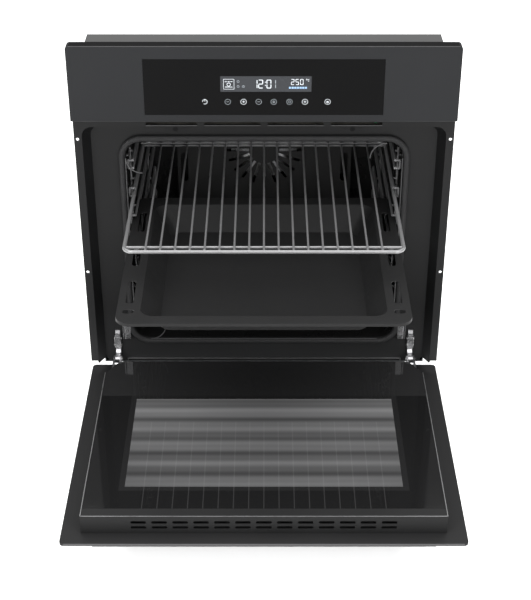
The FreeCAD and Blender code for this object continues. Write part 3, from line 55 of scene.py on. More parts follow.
Point = tuple[float, float, float]


class Sense(Enum):
    """The oven's two sides."""

    LEFT = -1
    RIGHT = 1


# Shader building ------------------------------------------------------------------------------------


class Wire:
    """One output socket of a shader node, which takes part in Python arithmetic."""

    def __init__(self, surface: "Surface", socket: bpy.types.NodeSocket) -> None:
        """Keep the socket with the surface whose node tree it is in."""
        self.surface = surface
        self.socket = socket

    def maths(self, operation: str, *others: "Wire | float", flip: bool = False) -> "Wire":
        """Add one Math node.

        Args:
            operation: The Math node's operation.
            others: Its other operands.
            flip: Whether this wire is the second operand.

        Returns:
            The node's result.
        """
        operands = [self, *others]
        if flip:
            operands.reverse()
        return self.surface.node("ShaderNodeMath", {"operation": operation}, dict(enumerate(operands)))

    def __add__(self, other: "Wire | float") -> "Wire":
        """Sum."""
        return self.maths("ADD", other)

    __radd__ = __add__

    def __mul__(self, other: "Wire | float") -> "Wire":
        """Product."""
        return self.maths("MULTIPLY", other)

    __rmul__ = __mul__

    def __sub__(self, other: "Wire | float") -> "Wire":
        """Difference."""
        return self.maths("SUBTRACT", other)

    def __rsub__(self, other: "Wire | float") -> "Wire":
        """Difference from a number."""
        return self.maths("SUBTRACT", other, flip=True)

    def __truediv__(self, other: "Wire | float") -> "Wire":
        """Quotient."""
        return self.maths("DIVIDE", other)

    def __lt__(self, other: "Wire | float") -> "Wire":
        """One where this is the smaller, else zero."""
        return self.maths("LESS_THAN", other)

    def __gt__(self, other: "Wire | float") -> "Wire":
        """One where this is the larger, else zero."""
        return self.maths("GREATER_THAN", other)

    def __abs__(self) -> "Wire":
        """Size without sign."""
        return self.maths("ABSOLUTE")

    def sine(self) -> "Wire":
        """Sine of the value in radians."""
        return self.maths("SINE")

    def held(self, low: float, high: float, new_low: float = 0.0, new_high: float = 1.0) -> "Wire":
        """Map one range onto another and hold it there.

        Args:
            low: Where the range starts.
            high: Where it ends.
            new_low: What the start becomes.
            new_high: What the end becomes.

        Returns:
            The mapped value.
        """
        inputs = {"Value": self, "From Min": low, "From Max": high, "To Min": new_low, "To Max": new_high}
        return self.surface.node("ShaderNodeMapRange", {"clamp": True}, inputs)


class Surface:
    """A material made of one Principled shader and the nodes that feed it."""

    def __init__(self, name: str, **constants: Any) -> None:
        """Start a material.

        Args:
            name: The material's name.
            constants: Values of the shader's own sockets, with underscores for spaces.
        """
        self.material = bpy.data.materials.new(name)
        self.material.use_nodes = True
        self.tree = self.material.node_tree
        self.shader = self.tree.nodes["Principled BSDF"]
        for key, value in constants.items():
            self.shader.inputs[key.replace("_", " ")].default_value = value

    def node(self, kind: str, settings: dict[str, Any], inputs: dict[Any, Any], output: Any = 0) -> Wire:
        """Add one node.

        Args:
            kind: The node's type.
            settings: Its own settings, set first; a ramp's stops go under "stops".
            inputs: Values or wires for its sockets, by name or index.
            output: Which output to return.

        Returns:
            The chosen output.
        """
        made = self.tree.nodes.new(kind)
        for key, value in settings.items():
            if key == "stops":
                self.set_stops(made.color_ramp, value)
            else:
                setattr(made, key, value)
        for key, value in inputs.items():
            if isinstance(value, Wire):
                self.tree.links.new(value.socket, made.inputs[key])
            else:
                made.inputs[key].default_value = value
        return Wire(self, made.outputs[output])

    @staticmethod
    def set_stops(ramp: bpy.types.ColorRamp, stops: Sequence[tuple[float, Colour]]) -> None:
        """Give a colour ramp its stops.

        Args:
            ramp: The ramp.
            stops: Positions and colours, in order.
        """
        while len(ramp.elements) < len(stops):
            ramp.elements.new(1.0)
        for element, (position, colour) in zip(ramp.elements, stops):
            element.position = position
            element.color = (*colour, 1.0)

    def feed(self, socket: str, wire: Wire) -> None:
        """Link a wire to one of the shader's sockets."""
        self.tree.links.new(wire.socket, self.shader.inputs[socket])

    def place(self, scale: Point = (1.0, 1.0, 1.0)) -> Wire:
        """Object coordinates, stretched along each axis."""
        at = self.node("ShaderNodeTexCoord", {}, {}, "Object")
        return self.node("ShaderNodeMapping", {}, {"Vector": at, "Scale": scale})

    def axes(self) -> tuple[Wire, Wire, Wire]:
        """The three object coordinates one by one, in metres."""
        at = self.node("ShaderNodeTexCoord", {}, {}, "Object")
        split = self.node("ShaderNodeSeparateXYZ", {}, {"Vector": at})
        outputs = split.socket.node.outputs
        return Wire(self, outputs[0]), Wire(self, outputs[1]), Wire(self, outputs[2])

    def noise(self, scale: float, detail: float = 3.0, stretch: Point = (1.0, 1.0, 1.0)) -> Wire:
        """A noise value between nought and one.

        Args:
            scale: Cells in a metre.
            detail: Octaves.
            stretch: Scale along each axis.

        Returns:
            The noise.
        """
        inputs = {"Vector": self.place(stretch), "Scale": scale, "Detail": detail}
        return self.node("ShaderNodeTexNoise", {}, inputs, "Fac")

    def cells(self, scale: float, output: str = "Distance") -> Wire:
        """A cell pattern: the distance to each cell's point, or its own random colour."""
        return self.node("ShaderNodeTexVoronoi", {}, {"Vector": self.place(), "Scale": scale}, output)

    def tint(self, wire: Wire, dark: Colour, light: Colour) -> Wire:
        """Blend between two colours by a value."""
        return self.node("ShaderNodeValToRGB", {"stops": ((0.0, dark), (1.0, light))}, {"Fac": wire}, "Color")

    def relief(self, wire: Wire, strength: float, depth: float) -> None:
        """Feed a height into the shader's normal.

        Args:
            wire: The height.
            strength: How much of it shows.
            depth: Its depth in metres.
        """
        bump = {"Height": wire, "Strength": strength, "Distance": depth}
        self.feed("Normal", self.node("ShaderNodeBump", {}, bump, "Normal"))


def shade(colour: Colour, factor: float) -> Colour:
    """A colour made lighter or darker."""
    return tuple(part * factor for part in colour)


# Finishes -------------------------------------------------------------------------------------------


@dataclass(frozen=True)
class Paint:
    """Baked powder paint with a fine skin and slight unevenness."""

    colour: Colour
    roughness: float = 0.42
    grain: float = 900.0
    relief: float = 0.05
    gloss: float = 0.35
    foot: float = 1.0
    foot_height: float = 60 * MM

    def dress(self, name: str) -> bpy.types.Material:
        """Make the material; where a foot is given, it grows paler towards its foot as painted light."""
        surface = Surface(name, Specular_IOR_Level=self.gloss)
        cloud = surface.noise(9.0, 4.0)
        skin = surface.noise(self.grain, 2.0)
        dark, light = 0.88, 1.12
        level = cloud
        # Painted light: the tone rises towards the foot so the lower part reads as lit.
        if self.foot > 1.0:
            share = (light - dark) / (light * self.foot - dark)
            low = surface.axes()[2].held(0.0, self.foot_height, 1.0, 0.0)
            level = cloud * share + low * (1.0 - share)
        top = light * self.foot
        surface.feed("Base Color", surface.tint(level, shade(self.colour, dark), shade(self.colour, top)))
        surface.feed("Roughness", cloud.held(0.25, 0.75, self.roughness - 0.05, self.roughness + 0.06))
        surface.relief(skin, self.relief, 0.0004)
        return surface.material


@dataclass(frozen=True)
class Enamel:
    """Fired enamel: glossy, a little wavy, with fine pale specks."""

    colour: Colour
    speck: float = 0.06
    roughness: float = 0.2
    gloss: float = 0.45

    def dress(self, name: str) -> bpy.types.Material:
        """Make the material."""
        surface = Surface(name, Specular_IOR_Level=self.gloss)
        dots = surface.cells(900.0) < 0.12
        chance = surface.noise(420.0, 1.0) > 0.56
        wave = surface.noise(28.0, 3.0)
        light = tuple(part + self.speck for part in self.colour)
        surface.feed("Base Color", surface.tint(dots * chance * 0.6, self.colour, light))
        surface.feed("Roughness", wave.held(0.3, 0.7, self.roughness - 0.04, self.roughness + 0.07))
        surface.relief(wave + surface.noise(500.0, 1.0) * 0.04, 0.12, 0.0012)
        return surface.material


@dataclass(frozen=True)
class Chrome:
    """Chromed wire, a little dulled by heat, with faint drawing marks."""

    colour: Colour = (0.36, 0.36, 0.365)
    roughness: float = 0.3
    metal: float = 0.5

    def dress(self, name: str) -> bpy.types.Material:
        """Make the material."""
        surface = Surface(name, Metallic=self.metal)
        marks = surface.noise(1400.0, 2.0, (1.0, 0.02, 1.0))
        cloud = surface.noise(30.0, 2.0)
        surface.feed("Base Color", surface.tint(cloud, shade(self.colour, 0.9), self.colour))
        surface.feed("Roughness", marks.held(0.3, 0.7, self.roughness - 0.05, self.roughness + 0.08))
        return surface.material


@dataclass(frozen=True)
class Galvanised:
    """Zinc-coated sheet with its crystal spangle."""

    colour: Colour = (0.3, 0.31, 0.32)
    cell: float = 110.0

    def dress(self, name: str) -> bpy.types.Material:
        """Make the material."""
        surface = Surface(name, Metallic=0.85)
        crystal = surface.cells(self.cell, "Color")
        split = surface.node("ShaderNodeSeparateColor", {}, {"Color": crystal})
        cloud = surface.noise(14.0, 4.0)
        mix = split * 0.65 + cloud * 0.35
        surface.feed("Base Color", surface.tint(mix, shade(self.colour, 0.78), shade(self.colour, 1.2)))
        surface.feed("Roughness", mix.held(0.0, 1.0, 0.36, 0.56))
        surface.relief(surface.noise(260.0, 2.0), 0.04, 0.0003)
        return surface.material


@dataclass(frozen=True)
class BrightSteel:
    """Zinc-plated steel with fine lengthwise brushing."""

    colour: Colour = (0.56, 0.56, 0.57)
    roughness: float = 0.28
    stretch: Point = (1.0, 0.04, 1.0)

    def dress(self, name: str) -> bpy.types.Material:
        """Make the material."""
        surface = Surface(name, Metallic=1.0)
        brushing = surface.noise(900.0, 3.0, self.stretch)
        cloud = surface.noise(40.0, 3.0)
        surface.feed("Base Color", surface.tint(cloud, shade(self.colour, 0.82), shade(self.colour, 1.1)))
        surface.feed("Roughness", brushing.held(0.25, 0.75, self.roughness - 0.08, self.roughness + 0.12))
        surface.relief(brushing, 0.06, 0.0002)
        return surface.material


@dataclass(frozen=True)
class BlackGlass:
    """Glass printed black on its back: deep, smooth, with faint wipe marks."""

    colour: Colour = (0.004, 0.004, 0.0045)
    gloss: float = 0.3

    def dress(self, name: str) -> bpy.types.Material:
        """Make the material."""
        surface = Surface(name, Specular_IOR_Level=self.gloss)
        wipe = surface.noise(7.0, 5.0, (1.0, 0.35, 1.0))
        surface.feed("Base Color", surface.tint(wipe, self.colour, shade(self.colour, 1.5)))
        surface.feed("Roughness", wipe.held(0.35, 0.75, 0.035, 0.075))
        return surface.material


@dataclass(frozen=True)
class WindowGlass:
    """Inner door pane: black border print round a clear window, lit with painted reflection: soft bands and
    shelf-bar lines.
    """

    half: float
    near: float
    far: float
    colour: Colour = (0.0085, 0.0085, 0.0087)
    brightest: Colour = (0.26, 0.26, 0.263)
    border: float = 9 * MM
    border_level: float = 0.02
    far_lift_level: float = 0.035
    rod_pitch: float = 22.4 * MM
    rod_share: float = 0.035
    rod_reach: float = 8.3
    rod_level: float = 0.062
    rod_end: float = 62 * MM
    band_count: float = 5.0
    fine_count: float = 13.0
    band_middle: float = 0.62
    band_swing: float = 0.24
    fine_swing: float = 0.09

    def dress(self, name: str) -> bpy.types.Material:
        """Make the material."""
        surface = Surface(name, Specular_IOR_Level=0.4)
        across, along, _ = surface.axes()
        middle = (self.near + self.far) / 2
        reach = (self.far - self.near) / 2
        side_gap = abs(across) - self.half
        end_gap = abs(along - middle) - reach
        outside = side_gap.maths("MAXIMUM", end_gap)
        window = outside < 0.0
        border = (outside < self.border) - window
        # Painted reflection: bright bands, brighter towards the far edge and darker towards the sides.
        depth = (along - self.near) / (self.far - self.near)
        bands = self.bands(depth)
        grain = surface.noise(3.0, 3.0, (0.6, 12.0, 1.0)).held(0.3, 0.7, 0.86, 1.1)
        ends = (abs(across) / self.half).held(0.6, 1.0, 1.0, 0.85)
        swell = depth * depth * 0.62 + 0.4
        # A faint even lift past the window's far edge.
        far_lift = (depth > 1.04) * self.far_lift_level
        glow = window * bands * grain * ends * swell
        level = glow + border * self.border_level + self.shelf_reflections(across, along) + far_lift
        surface.feed("Base Color", surface.tint(level, self.colour, self.brightest))
        surface.feed("Roughness", surface.noise(9.0, 4.0).held(0.3, 0.7, 0.03, 0.07))
        return surface.material

    def shelf_reflections(self, across: Wire, along: Wire) -> Wire:
        """Faint light lines, one for each bar of the shelf, over the near two thirds of the pane: painted
        reflection of the shelf bars.

        Args:
            across: Place across the pane.
            along: Place along the pane.

        Returns:
            How bright the lines are.
        """
        phase = (across / self.rod_pitch).maths("FRACT")
        line = abs(phase.maths("PINGPONG", 0.5)) < self.rod_share
        inside = abs(across) < self.rod_reach * self.rod_pitch
        near = along < self.far - self.rod_end
        return line * inside * near * self.rod_level

    def bands(self, depth: Wire) -> Wire:
        """Painted reflection: soft bright bands across the window, a few broad waves with finer ones over
        them.

        Args:
            depth: Nought at the window's near edge, one at its far edge.

        Returns:
            How bright the window is.
        """
        broad = (depth * (self.band_count * math.tau)).sine()
        fine = (depth * (self.fine_count * math.tau)).sine()
        return broad * self.band_swing + fine * self.fine_swing + self.band_middle


@dataclass(frozen=True)
class PrintedPane:
    """Outer door pane: matt printed border round a dark clear window."""

    half: float
    near: float
    far: float
    print_colour: Colour = (0.0165, 0.0165, 0.0168)
    window_colour: Colour = (0.0045, 0.0045, 0.0047)

    def dress(self, name: str) -> bpy.types.Material:
        """Make the material."""
        surface = Surface(name, Specular_IOR_Level=0.12, Coat_Roughness=0.03)
        across, along, _ = surface.axes()
        middle = (self.near + self.far) / 2
        reach = (self.far - self.near) / 2
        window = (abs(across) - self.half).maths("MAXIMUM", abs(along - middle) - reach) < 0.0
        cloud = surface.noise(9.0, 4.0)
        level = (cloud * 0.2 + 0.8) - window * 0.85
        surface.feed("Base Color", surface.tint(level, self.window_colour, shade(self.print_colour, 1.1)))
        surface.feed("Roughness", cloud.held(0.25, 0.75, 0.45, 0.56) - window * 0.4)
        surface.feed("Coat Weight", window * 0.8)
        return surface.material


@dataclass(frozen=True)
class ClearGlass:
    """Plain clear glass, seen through a little."""

    colour: Colour = (0.55, 0.6, 0.6)
    alpha: float = 0.35

    def dress(self, name: str) -> bpy.types.Material:
        """Make the material."""
        surface = Surface(name, Roughness=0.04, Alpha=self.alpha)
        cloud = surface.noise(12.0, 2.0)
        surface.feed("Base Color", surface.tint(cloud, shade(self.colour, 0.9), self.colour))
        return surface.material


@dataclass(frozen=True)
class Braid:
    """Woven glass-fibre sleeve of the door seal."""

    colour: Colour = (0.012, 0.012, 0.0125)
    pitch: float = 2400.0

    def dress(self, name: str) -> bpy.types.Material:
        """Make the material."""
        surface = Surface(name, Specular_IOR_Level=0.3)
        across, along, up = surface.axes()
        first = ((across + up + along) * self.pitch).sine()
        second = ((across - up + along) * self.pitch).sine()
        weave = first.maths("MAXIMUM", second)
        surface.feed("Base Color", surface.tint(weave, shade(self.colour, 0.5), shade(self.colour, 1.8)))
        surface.feed("Roughness", weave.held(-1.0, 1.0, 0.75, 0.5))
        surface.relief(weave, 0.5, 0.0005)
        return surface.material


@dataclass(frozen=True)
class Wool:
    """Loose mineral wool."""

    colour: Colour = (0.055, 0.052, 0.045)

    def dress(self, name: str) -> bpy.types.Material:
        """Make the material."""
        surface = Surface(name, Specular_IOR_Level=0.1)
        fibre = surface.noise(160.0, 6.0, (1.0, 0.2, 1.0)) * 0.6 + surface.noise(30.0, 5.0) * 0.4
        surface.feed("Base Color", surface.tint(fibre, shade(self.colour, 0.5), shade(self.colour, 1.4)))
        surface.feed("Roughness", fibre.held(0.0, 1.0, 0.8, 1.0))
        surface.relief(fibre, 0.8, 0.004)
        return surface.material


@dataclass(frozen=True)
class Plastic:
    """Moulded plastic with a fine spark-eroded grain."""

    colour: Colour
    roughness: float = 0.5

    def dress(self, name: str) -> bpy.types.Material:
        """Make the material."""
        surface = Surface(name, Specular_IOR_Level=0.4)
        grain = surface.noise(1800.0, 2.0)
        surface.feed("Base Color", surface.tint(surface.noise(20.0), shade(self.colour, 0.92), self.colour))
        surface.feed("Roughness", grain.held(0.3, 0.7, self.roughness - 0.06, self.roughness + 0.08))
        surface.relief(grain, 0.12, 0.0002)
        return surface.material


@dataclass(frozen=True)
class Board:
    """Circuit board with copper tracks under green lacquer."""

    colour: Colour = (0.01, 0.09, 0.035)

    def dress(self, name: str) -> bpy.types.Material:
        """Make the material."""
        surface = Surface(name, Roughness=0.35)
        inputs = {"Vector": surface.place(), "Scale": 160.0, "Mortar Size": 0.03}
        tracks = surface.node("ShaderNodeTexBrick", {}, inputs, "Fac")
        surface.feed("Base Color", surface.tint(tracks, self.colour, shade(self.colour, 2.2)))
        surface.relief(tracks, 0.2, 0.0001)
        return surface.material


@dataclass(frozen=True)
class FiredSteel:
    """Heating element sheath, oxidised dark with a little straw and blue."""

    colour: Colour = (0.07, 0.062, 0.056)

    def dress(self, name: str) -> bpy.types.Material:
        """Make the material."""
        surface = Surface(name, Metallic=0.7)
        cloud = surface.noise(35.0, 4.0)
        surface.feed("Base Color", surface.tint(cloud, shade(self.colour, 0.6), (0.16, 0.12, 0.09)))
        surface.feed("Roughness", cloud.held(0.2, 0.8, 0.45, 0.6))
        surface.relief(surface.noise(700.0, 2.0), 0.15, 0.0002)
        return surface.material


@dataclass(frozen=True)
class Lit:
    """A lit symbol or digit behind glass, a little uneven like a real segment."""

    colour: Colour
    strength: float

    def dress(self, name: str) -> bpy.types.Material:
        """Make the material."""
        surface = Surface(name, Roughness=0.3, Emission_Strength=self.strength)
        glow = surface.noise(350.0, 2.0).held(0.3, 0.7, 0.82, 1.0)
        surface.feed("Base Color", surface.tint(glow, (0.0, 0.0, 0.0), shade(self.colour, 0.4)))
        surface.feed("Emission Color", surface.tint(glow, shade(self.colour, 0.3), self.colour))
        return surface.material


TOUCH_GLASS = BlackGlass((0.0035, 0.0035, 0.0036), 0.03)
COVER_ENAMEL = Enamel((0.026, 0.026, 0.026), 0.05, 0.4, 0.2)
# Frame paint, paler over its lowest 110 mm as painted light on the frame's foot.
DARK_PAINT = Paint((0.0092, 0.0093, 0.0095), gloss=0.13, foot=2.4, foot_height=110 * MM)
FASCIA_PAINT = Paint((0.0172, 0.0178, 0.019), 0.45, 700.0, 0.04, 0.09)
DOOR_PAINT = Paint((0.0145, 0.0146, 0.0148), 0.5, 900.0, 0.04, 0.14)
# Pale paint for painted highlights: fascia edges, mouth edge, air-slot lips and the outer pane's edge.
HIGHLIGHT_PAINT = Paint((0.045, 0.045, 0.046), 0.35, 900.0, 0.02, 0.4)
# Bright steel for painted highlights along the frame's foot and the door's inner edges.
EDGE_HIGHLIGHT_METAL = BrightSteel((0.3, 0.3, 0.305), 0.4)
# Near-black paint for painted shade: the fascia's top face and the pressed marks.
SHADE_PAINT = Paint((0.006, 0.006, 0.0062), 0.6, 900.0, 0.02, 0.05)
ROOF_PAINT = Paint((0.072, 0.072, 0.072), 0.55, 900.0, 0.04, 0.12)
LINER = Enamel((0.006, 0.006, 0.006), 0.05, 0.28, 0.3)
TRAY_ENAMEL = Enamel((0.017, 0.017, 0.0172), 0.07, 0.4, 0.1)
DISPLAY_FIELD = Paint((0.028, 0.03, 0.034), 0.3, 500.0, 0.0, 0.2)
ZINC = Galvanised()
BRIGHT = BrightSteel()
WIRE = Chrome((0.29, 0.29, 0.294))
# Darker copy of the shelf chrome for the side racks: painted shade for the racks inside the cavity.
SHADED_RACK_WIRE = Chrome((0.24, 0.24, 0.244), 0.36)
CLEAR = ClearGlass()
BLACK_PLASTIC = Plastic((0.012, 0.012, 0.013))
WHITE_PLASTIC = Plastic((0.62, 0.62, 0.6))
WHITE_LIT = Lit((0.9, 0.95, 1.0), 0.78)
DIM_LIT = Lit((0.5, 0.55, 0.6), 0.28)
BLUE_LIT = Lit((0.35, 0.55, 0.85), 0.8)


# Mesh building --------------------------------------------------------------------------------------


@dataclass
class Workshop:
    """Makes finished pieces: turns a bmesh into an object, dresses it and hangs it on a body."""

    count: int = 0
    materials: dict[str, bpy.types.Material] = field(default_factory=dict)

    def finish(self, finish: Any, name: str) -> bpy.types.Material:
        """The material of a finish, made once.

        Args:
            finish: One of the finish dataclasses.
            name: The material's name.

        Returns:
            The material.
        """
        if name not in self.materials:
            self.materials[name] = finish.dress(name)
        return self.materials[name]

    def piece(self, name: str, mesh: bmesh.types.BMesh, finish: Any, slot: str, body: str,
              replaces: Sequence[str] = ()) -> bpy.types.Object:
        """Turn a bmesh into a finished piece.

        Args:
            name: The piece's name.
            mesh: Its shape, in the oven's frame.
            finish: The finish that it wears.
            slot: A material slot name; not used.
            body: The body that it rides on.
            replaces: The frame's nodes that it stands for.

        Returns:
            The object.
        """
        bmesh.ops.remove_doubles(mesh, verts=mesh.verts, dist=1e-6)
        bmesh.ops.recalc_face_normals(mesh, faces=mesh.faces)
        data = bpy.data.meshes.new(name)
        mesh.to_mesh(data)
        mesh.free()
        item = bpy.data.objects.new(name, data)
        bpy.context.scene.collection.objects.link(item)
        data.materials.append(self.finish(finish, f"{type(finish).__name__.lower()}_{name}"))
        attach(item, body)
        if replaces:
            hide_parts(*replaces)
        self.count += 1
        log.info("piece %s on %s", name, body)
        return item

    def dress(self, finish: Any, name: str, *nodes: str) -> None:
        """Give frame nodes a better material.

        Args:
            finish: The finish.
            name: The material's name, shared by all the nodes that wear it.
            nodes: The nodes.
        """
        material = self.finish(finish, name)
        for node in nodes:
            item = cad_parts[node]
            if not item.material_slots:
                item.data.materials.append(material)
            for slot in item.material_slots:
                slot.material = material


def vectors(box: Any) -> tuple[Vector, Vector]:
    """A box's lowest and highest corners as vectors."""
    low, high = box
    return Vector(low), Vector(high)


def add_bar(mesh: bmesh.types.BMesh, low: Point, high: Point, bevel: float = 0.0) -> None:
    """Add a bar between two corners.

    Args:
        mesh: The bmesh to add to.
        low: Its lowest corner.
        high: Its highest corner.
        bevel: How far its edges are rounded.
    """
    size = Vector(high) - Vector(low)
    middle = (Vector(high) + Vector(low)) / 2
    place = Matrix.Translation(middle) @ Matrix.Diagonal((*size, 1.0))
    made = bmesh.ops.create_cube(mesh, size=1.0, matrix=place)["verts"]
    if bevel > 0.0:
        edges = {edge for vert in made for edge in vert.link_edges}
        bmesh.ops.bevel(mesh, geom=list(edges), offset=bevel, segments=2, profile=0.5, affect="EDGES",
                        material=-1)


def add_rod(mesh: bmesh.types.BMesh, start: Point, end: Point, radius: float, sides: int = 16,
            tip: float | None = None) -> None:
    """Add a round rod between two points.

    Args:
        mesh: The bmesh to add to.
        start: One end.
        end: The other end.
        radius: Its radius at the start.
        sides: How many sides it has.
        tip: Its radius at the end, if that differs.
    """
    run = Vector(end) - Vector(start)
    middle = Matrix.Translation((Vector(start) + Vector(end)) / 2)
    bmesh.ops.create_cone(mesh, cap_ends=True, segments=sides, radius1=radius,
                          radius2=radius if tip is None else tip, depth=run.length,
                          matrix=middle @ run.to_track_quat("Z", "Y").to_matrix().to_4x4())


def add_ring(mesh: bmesh.types.BMesh, centre: Point, radius: float, width: float, depth: float,
             start: float = 0.0, sweep: float = 360.0) -> None:
    """Add a flat ring, or part of one, that faces the front.

    Args:
        mesh: The bmesh to add to.
        centre: Its centre.
        radius: Its middle radius.
        width: Its width.
        depth: Its thickness along Y.
        start: Angle where it starts, in degrees.
        sweep: How far it goes round.
    """
    middle = Vector(centre)
    turn = Matrix.Rotation(math.radians(start), 4, "Y")
    near, far = radius - width / 2, radius + width / 2
    points = [mesh.verts.new(middle + turn @ Vector((x, y, 0)))
              for x, y in ((near, 0), (far, 0), (far, depth), (near, depth))]
    face = mesh.faces.new(points)
    whole = abs(sweep) > 359.9
    bmesh.ops.spin(mesh, geom=[face, *points, *face.edges], cent=middle, axis=(0, -1, 0),
                   angle=math.radians(sweep), steps=max(6, int(abs(sweep) / 12)), use_merge=whole)
    if whole and face.is_valid:
        bmesh.ops.delete(mesh, geom=[face], context="FACES_ONLY")


# Sub-assemblies -------------------------------------------------------------------------------------


@dataclass(frozen=True)
class Segments:
    """Figures made of seven straight segments."""

    width: float
    height: float
    stroke: float
    lit: dict[str, str] = field(default_factory=lambda: {
        "0": "abcdef", "1": "bc", "2": "abged", "5": "afgcd", "C": "adef"})

    def add(self, mesh: bmesh.types.BMesh, figure: str, x: float, y: float, z: float) -> None:
        """Add one figure.

        Args:
            mesh: The bmesh to add to.
            figure: Which figure.
            x: Its left edge.
            y: The plane of its face.
            z: Its lower edge.
        """
        wide, tall, line = self.width, self.height, self.stroke
        gap = line * 0.25
        half = tall / 2
        level = {"a": tall - line, "g": half - line / 2, "d": 0.0}
        upright = {"b": (wide - line, half), "c": (wide - line, 0.0), "e": (0.0, 0.0), "f": (0.0, half)}
        for name in self.lit[figure]:
            if name in level:
                low = (x + line * 0.6, level[name])
                high = (x + wide - line * 0.6, level[name] + line)
            else:
                left, under = upright[name]
                low = (x + left, under + gap + line * 0.4)
                high = (x + left + line, under + half - gap - line * 0.4)
            add_bar(mesh, (low[0], y, z + low[1]), (high[0], y + STROKE_DEPTH, z + high[1]))


@dataclass
class ControlPanel:
    """Fascia with its black glass, display figures and touch symbols."""

    shop: Workshop
    body: str = "cabinet"
    proud: float = 0.08 * MM
    display_edge: float = 8 * MM
    display_rim: float = 3 * MM
    fascia_corner: float = 5 * MM
    clock_start: float = 49 * MM
    clock_shifts: tuple[float, ...] = (0.0, 8.6, 21.0)
    colon: tuple[float, float] = (67.6, 68.8)
    colon_rises: tuple[float, ...] = (4.2, 9.4)
    last_figure: float = 77 * MM
    heat_start: float = 31 * MM
    heat_pitch: float = 6.9 * MM
    bar_start: float = 34 * MM
    bar_pitch: float = 4 * MM
    bar_count: int = 7
    key_places: tuple[float, ...] = (-90.0, -55.0, -31.0, -8.0, 15.0, 39.0, 62.5, 97.0)
    bright_keys: tuple[int, ...] = (0, 2, 6, 7)
    key_rise: float = 32.6 * MM
    key_half: float = 2.2 * MM
    ring_radius: float = 4.3 * MM
    line: float = 0.75 * MM

    def __post_init__(self) -> None:
        """Take the places from the frame."""
        self.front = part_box("control_glass")[0][1] - self.proud
        self.fascia_low, self.fascia_high = vectors(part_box("control_fascia"))
        self.display_low, self.display_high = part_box("display_module")

    def build(self) -> None:
        """Dress the frame's nodes and add the figures and symbols."""
        self.shop.dress(FASCIA_PAINT, "fascia_paint", "control_fascia")
        self.shop.dress(TOUCH_GLASS, "touch_glass_black", "control_glass")
        self.shop.dress(BLACK_PLASTIC, "black_plastic", "display_module")
        self.shop.dress(Board(), "green_board", "touch_key_board", "power_board")
        self.display()
        self.touch_keys()
        self.edge_strips()

    def edge_strips(self) -> None:
        """Painted shade: a near-black strip over the fascia's rolled top; and painted highlights: pale lines
        along its top and bottom edges.
        """
        low, high = self.fascia_low, self.fascia_high
        left, right = low[0] + self.fascia_corner, high[0] - self.fascia_corner
        fold = low[1] + 1.6 * MM
        # Painted shade: a near-black strip over the fascia's top face.
        shade_strip = bmesh.new()
        add_bar(shade_strip, (left, fold, high[2] - 0.4 * MM), (right, high[1] - 0.2 * MM, high[2] + 0.12 * MM))
        self.shop.piece("fascia_top_painted_shade", shade_strip, SHADE_PAINT, "fascia_paint", self.body)
        # Painted highlights: pale lines along the fascia's top and bottom edges.
        lines = bmesh.new()
        add_bar(lines, (left, low[1] + 0.1 * MM, high[2] - 0.5 * MM), (right, fold, high[2] + 0.14 * MM),
                0.15 * MM)
        add_bar(lines, (low[0] + 1 * MM, low[1] + 0.2 * MM, low[2] - 0.1 * MM),
                (high[0] - 1 * MM, low[1] + 1.2 * MM, low[2] + 1.0 * MM), 0.2 * MM)
        self.shop.piece("fascia_edge_highlights", lines, HIGHLIGHT_PAINT, "fascia_paint", self.body)

    def mark(self, name: str, mesh: bmesh.types.BMesh, finish: Any) -> None:
        """Finish one mark on the glass.

        Args:
            name: The piece's name.
            mesh: Its shape.
            finish: The finish that it wears.
        """
        self.shop.piece(name, mesh, finish, "black_glass", self.body)

    def bar(self, mesh: bmesh.types.BMesh, left: float, low: float, right: float, high: float) -> None:
        """Add one flat stroke on the glass.

        Args:
            mesh: The bmesh to add to.
            left: Its left edge.
            low: Its lower edge.
            right: Its right edge.
            high: Its upper edge.
        """
        add_bar(mesh, (left, self.front, low), (right, self.front + STROKE_DEPTH, high))

    def ring(self, mesh: bmesh.types.BMesh, x: float, z: float, radius: float, width: float,
             start: float = 0.0, sweep: float = 360.0) -> None:
        """Add one flat ring on the glass.

        Args:
            mesh: The bmesh to add to.
            x: Its centre across.
            z: Its centre's height.
            radius: Its middle radius.
            width: Its width.
            start: Angle where it starts, in degrees.
            sweep: How far it goes round.
        """
        add_ring(mesh, (x, self.front, z), radius, width, STROKE_DEPTH, start, sweep)

    def display(self) -> None:
        """Field, clock, temperature, bar and mode symbol."""
        left = self.display_low[0] + self.display_edge
        right = self.display_high[0] - self.display_edge
        low, high = self.display_low[2], self.display_high[2]
        mesh = bmesh.new()
        add_bar(mesh, (left, self.front + 0.03 * MM, low + self.display_rim),
                (right, self.front + self.proud + 0.02 * MM, high - self.display_rim))
        self.mark("display_field", mesh, DISPLAY_FIELD)
        middle = (low + high) / 2
        self.clock(left, middle)
        self.heat(right, middle)
        self.mode_symbol(left + 13 * MM, middle)

    def clock(self, left: float, middle: float) -> None:
        """Clock figures with a colon, the last figure dim.

        Args:
            left: The field's left edge.
            middle: Its middle height.
        """
        tall = Segments(7.2 * MM, 14 * MM, 1.15 * MM)
        base = middle - tall.height / 2
        lit = bmesh.new()
        for figure, shift in zip("120", self.clock_shifts):
            tall.add(lit, figure, left + self.clock_start + shift * MM, self.front, base)
        near, far = self.colon
        for rise in self.colon_rises:
            self.bar(lit, left + near * MM, base + rise * MM, left + far * MM, base + (rise + 1.3) * MM)
        self.mark("clock_figures", lit, WHITE_LIT)
        dim = bmesh.new()
        tall.add(dim, "1", left + self.last_figure, self.front, base)
        self.mark("clock_last_figure", dim, DIM_LIT)

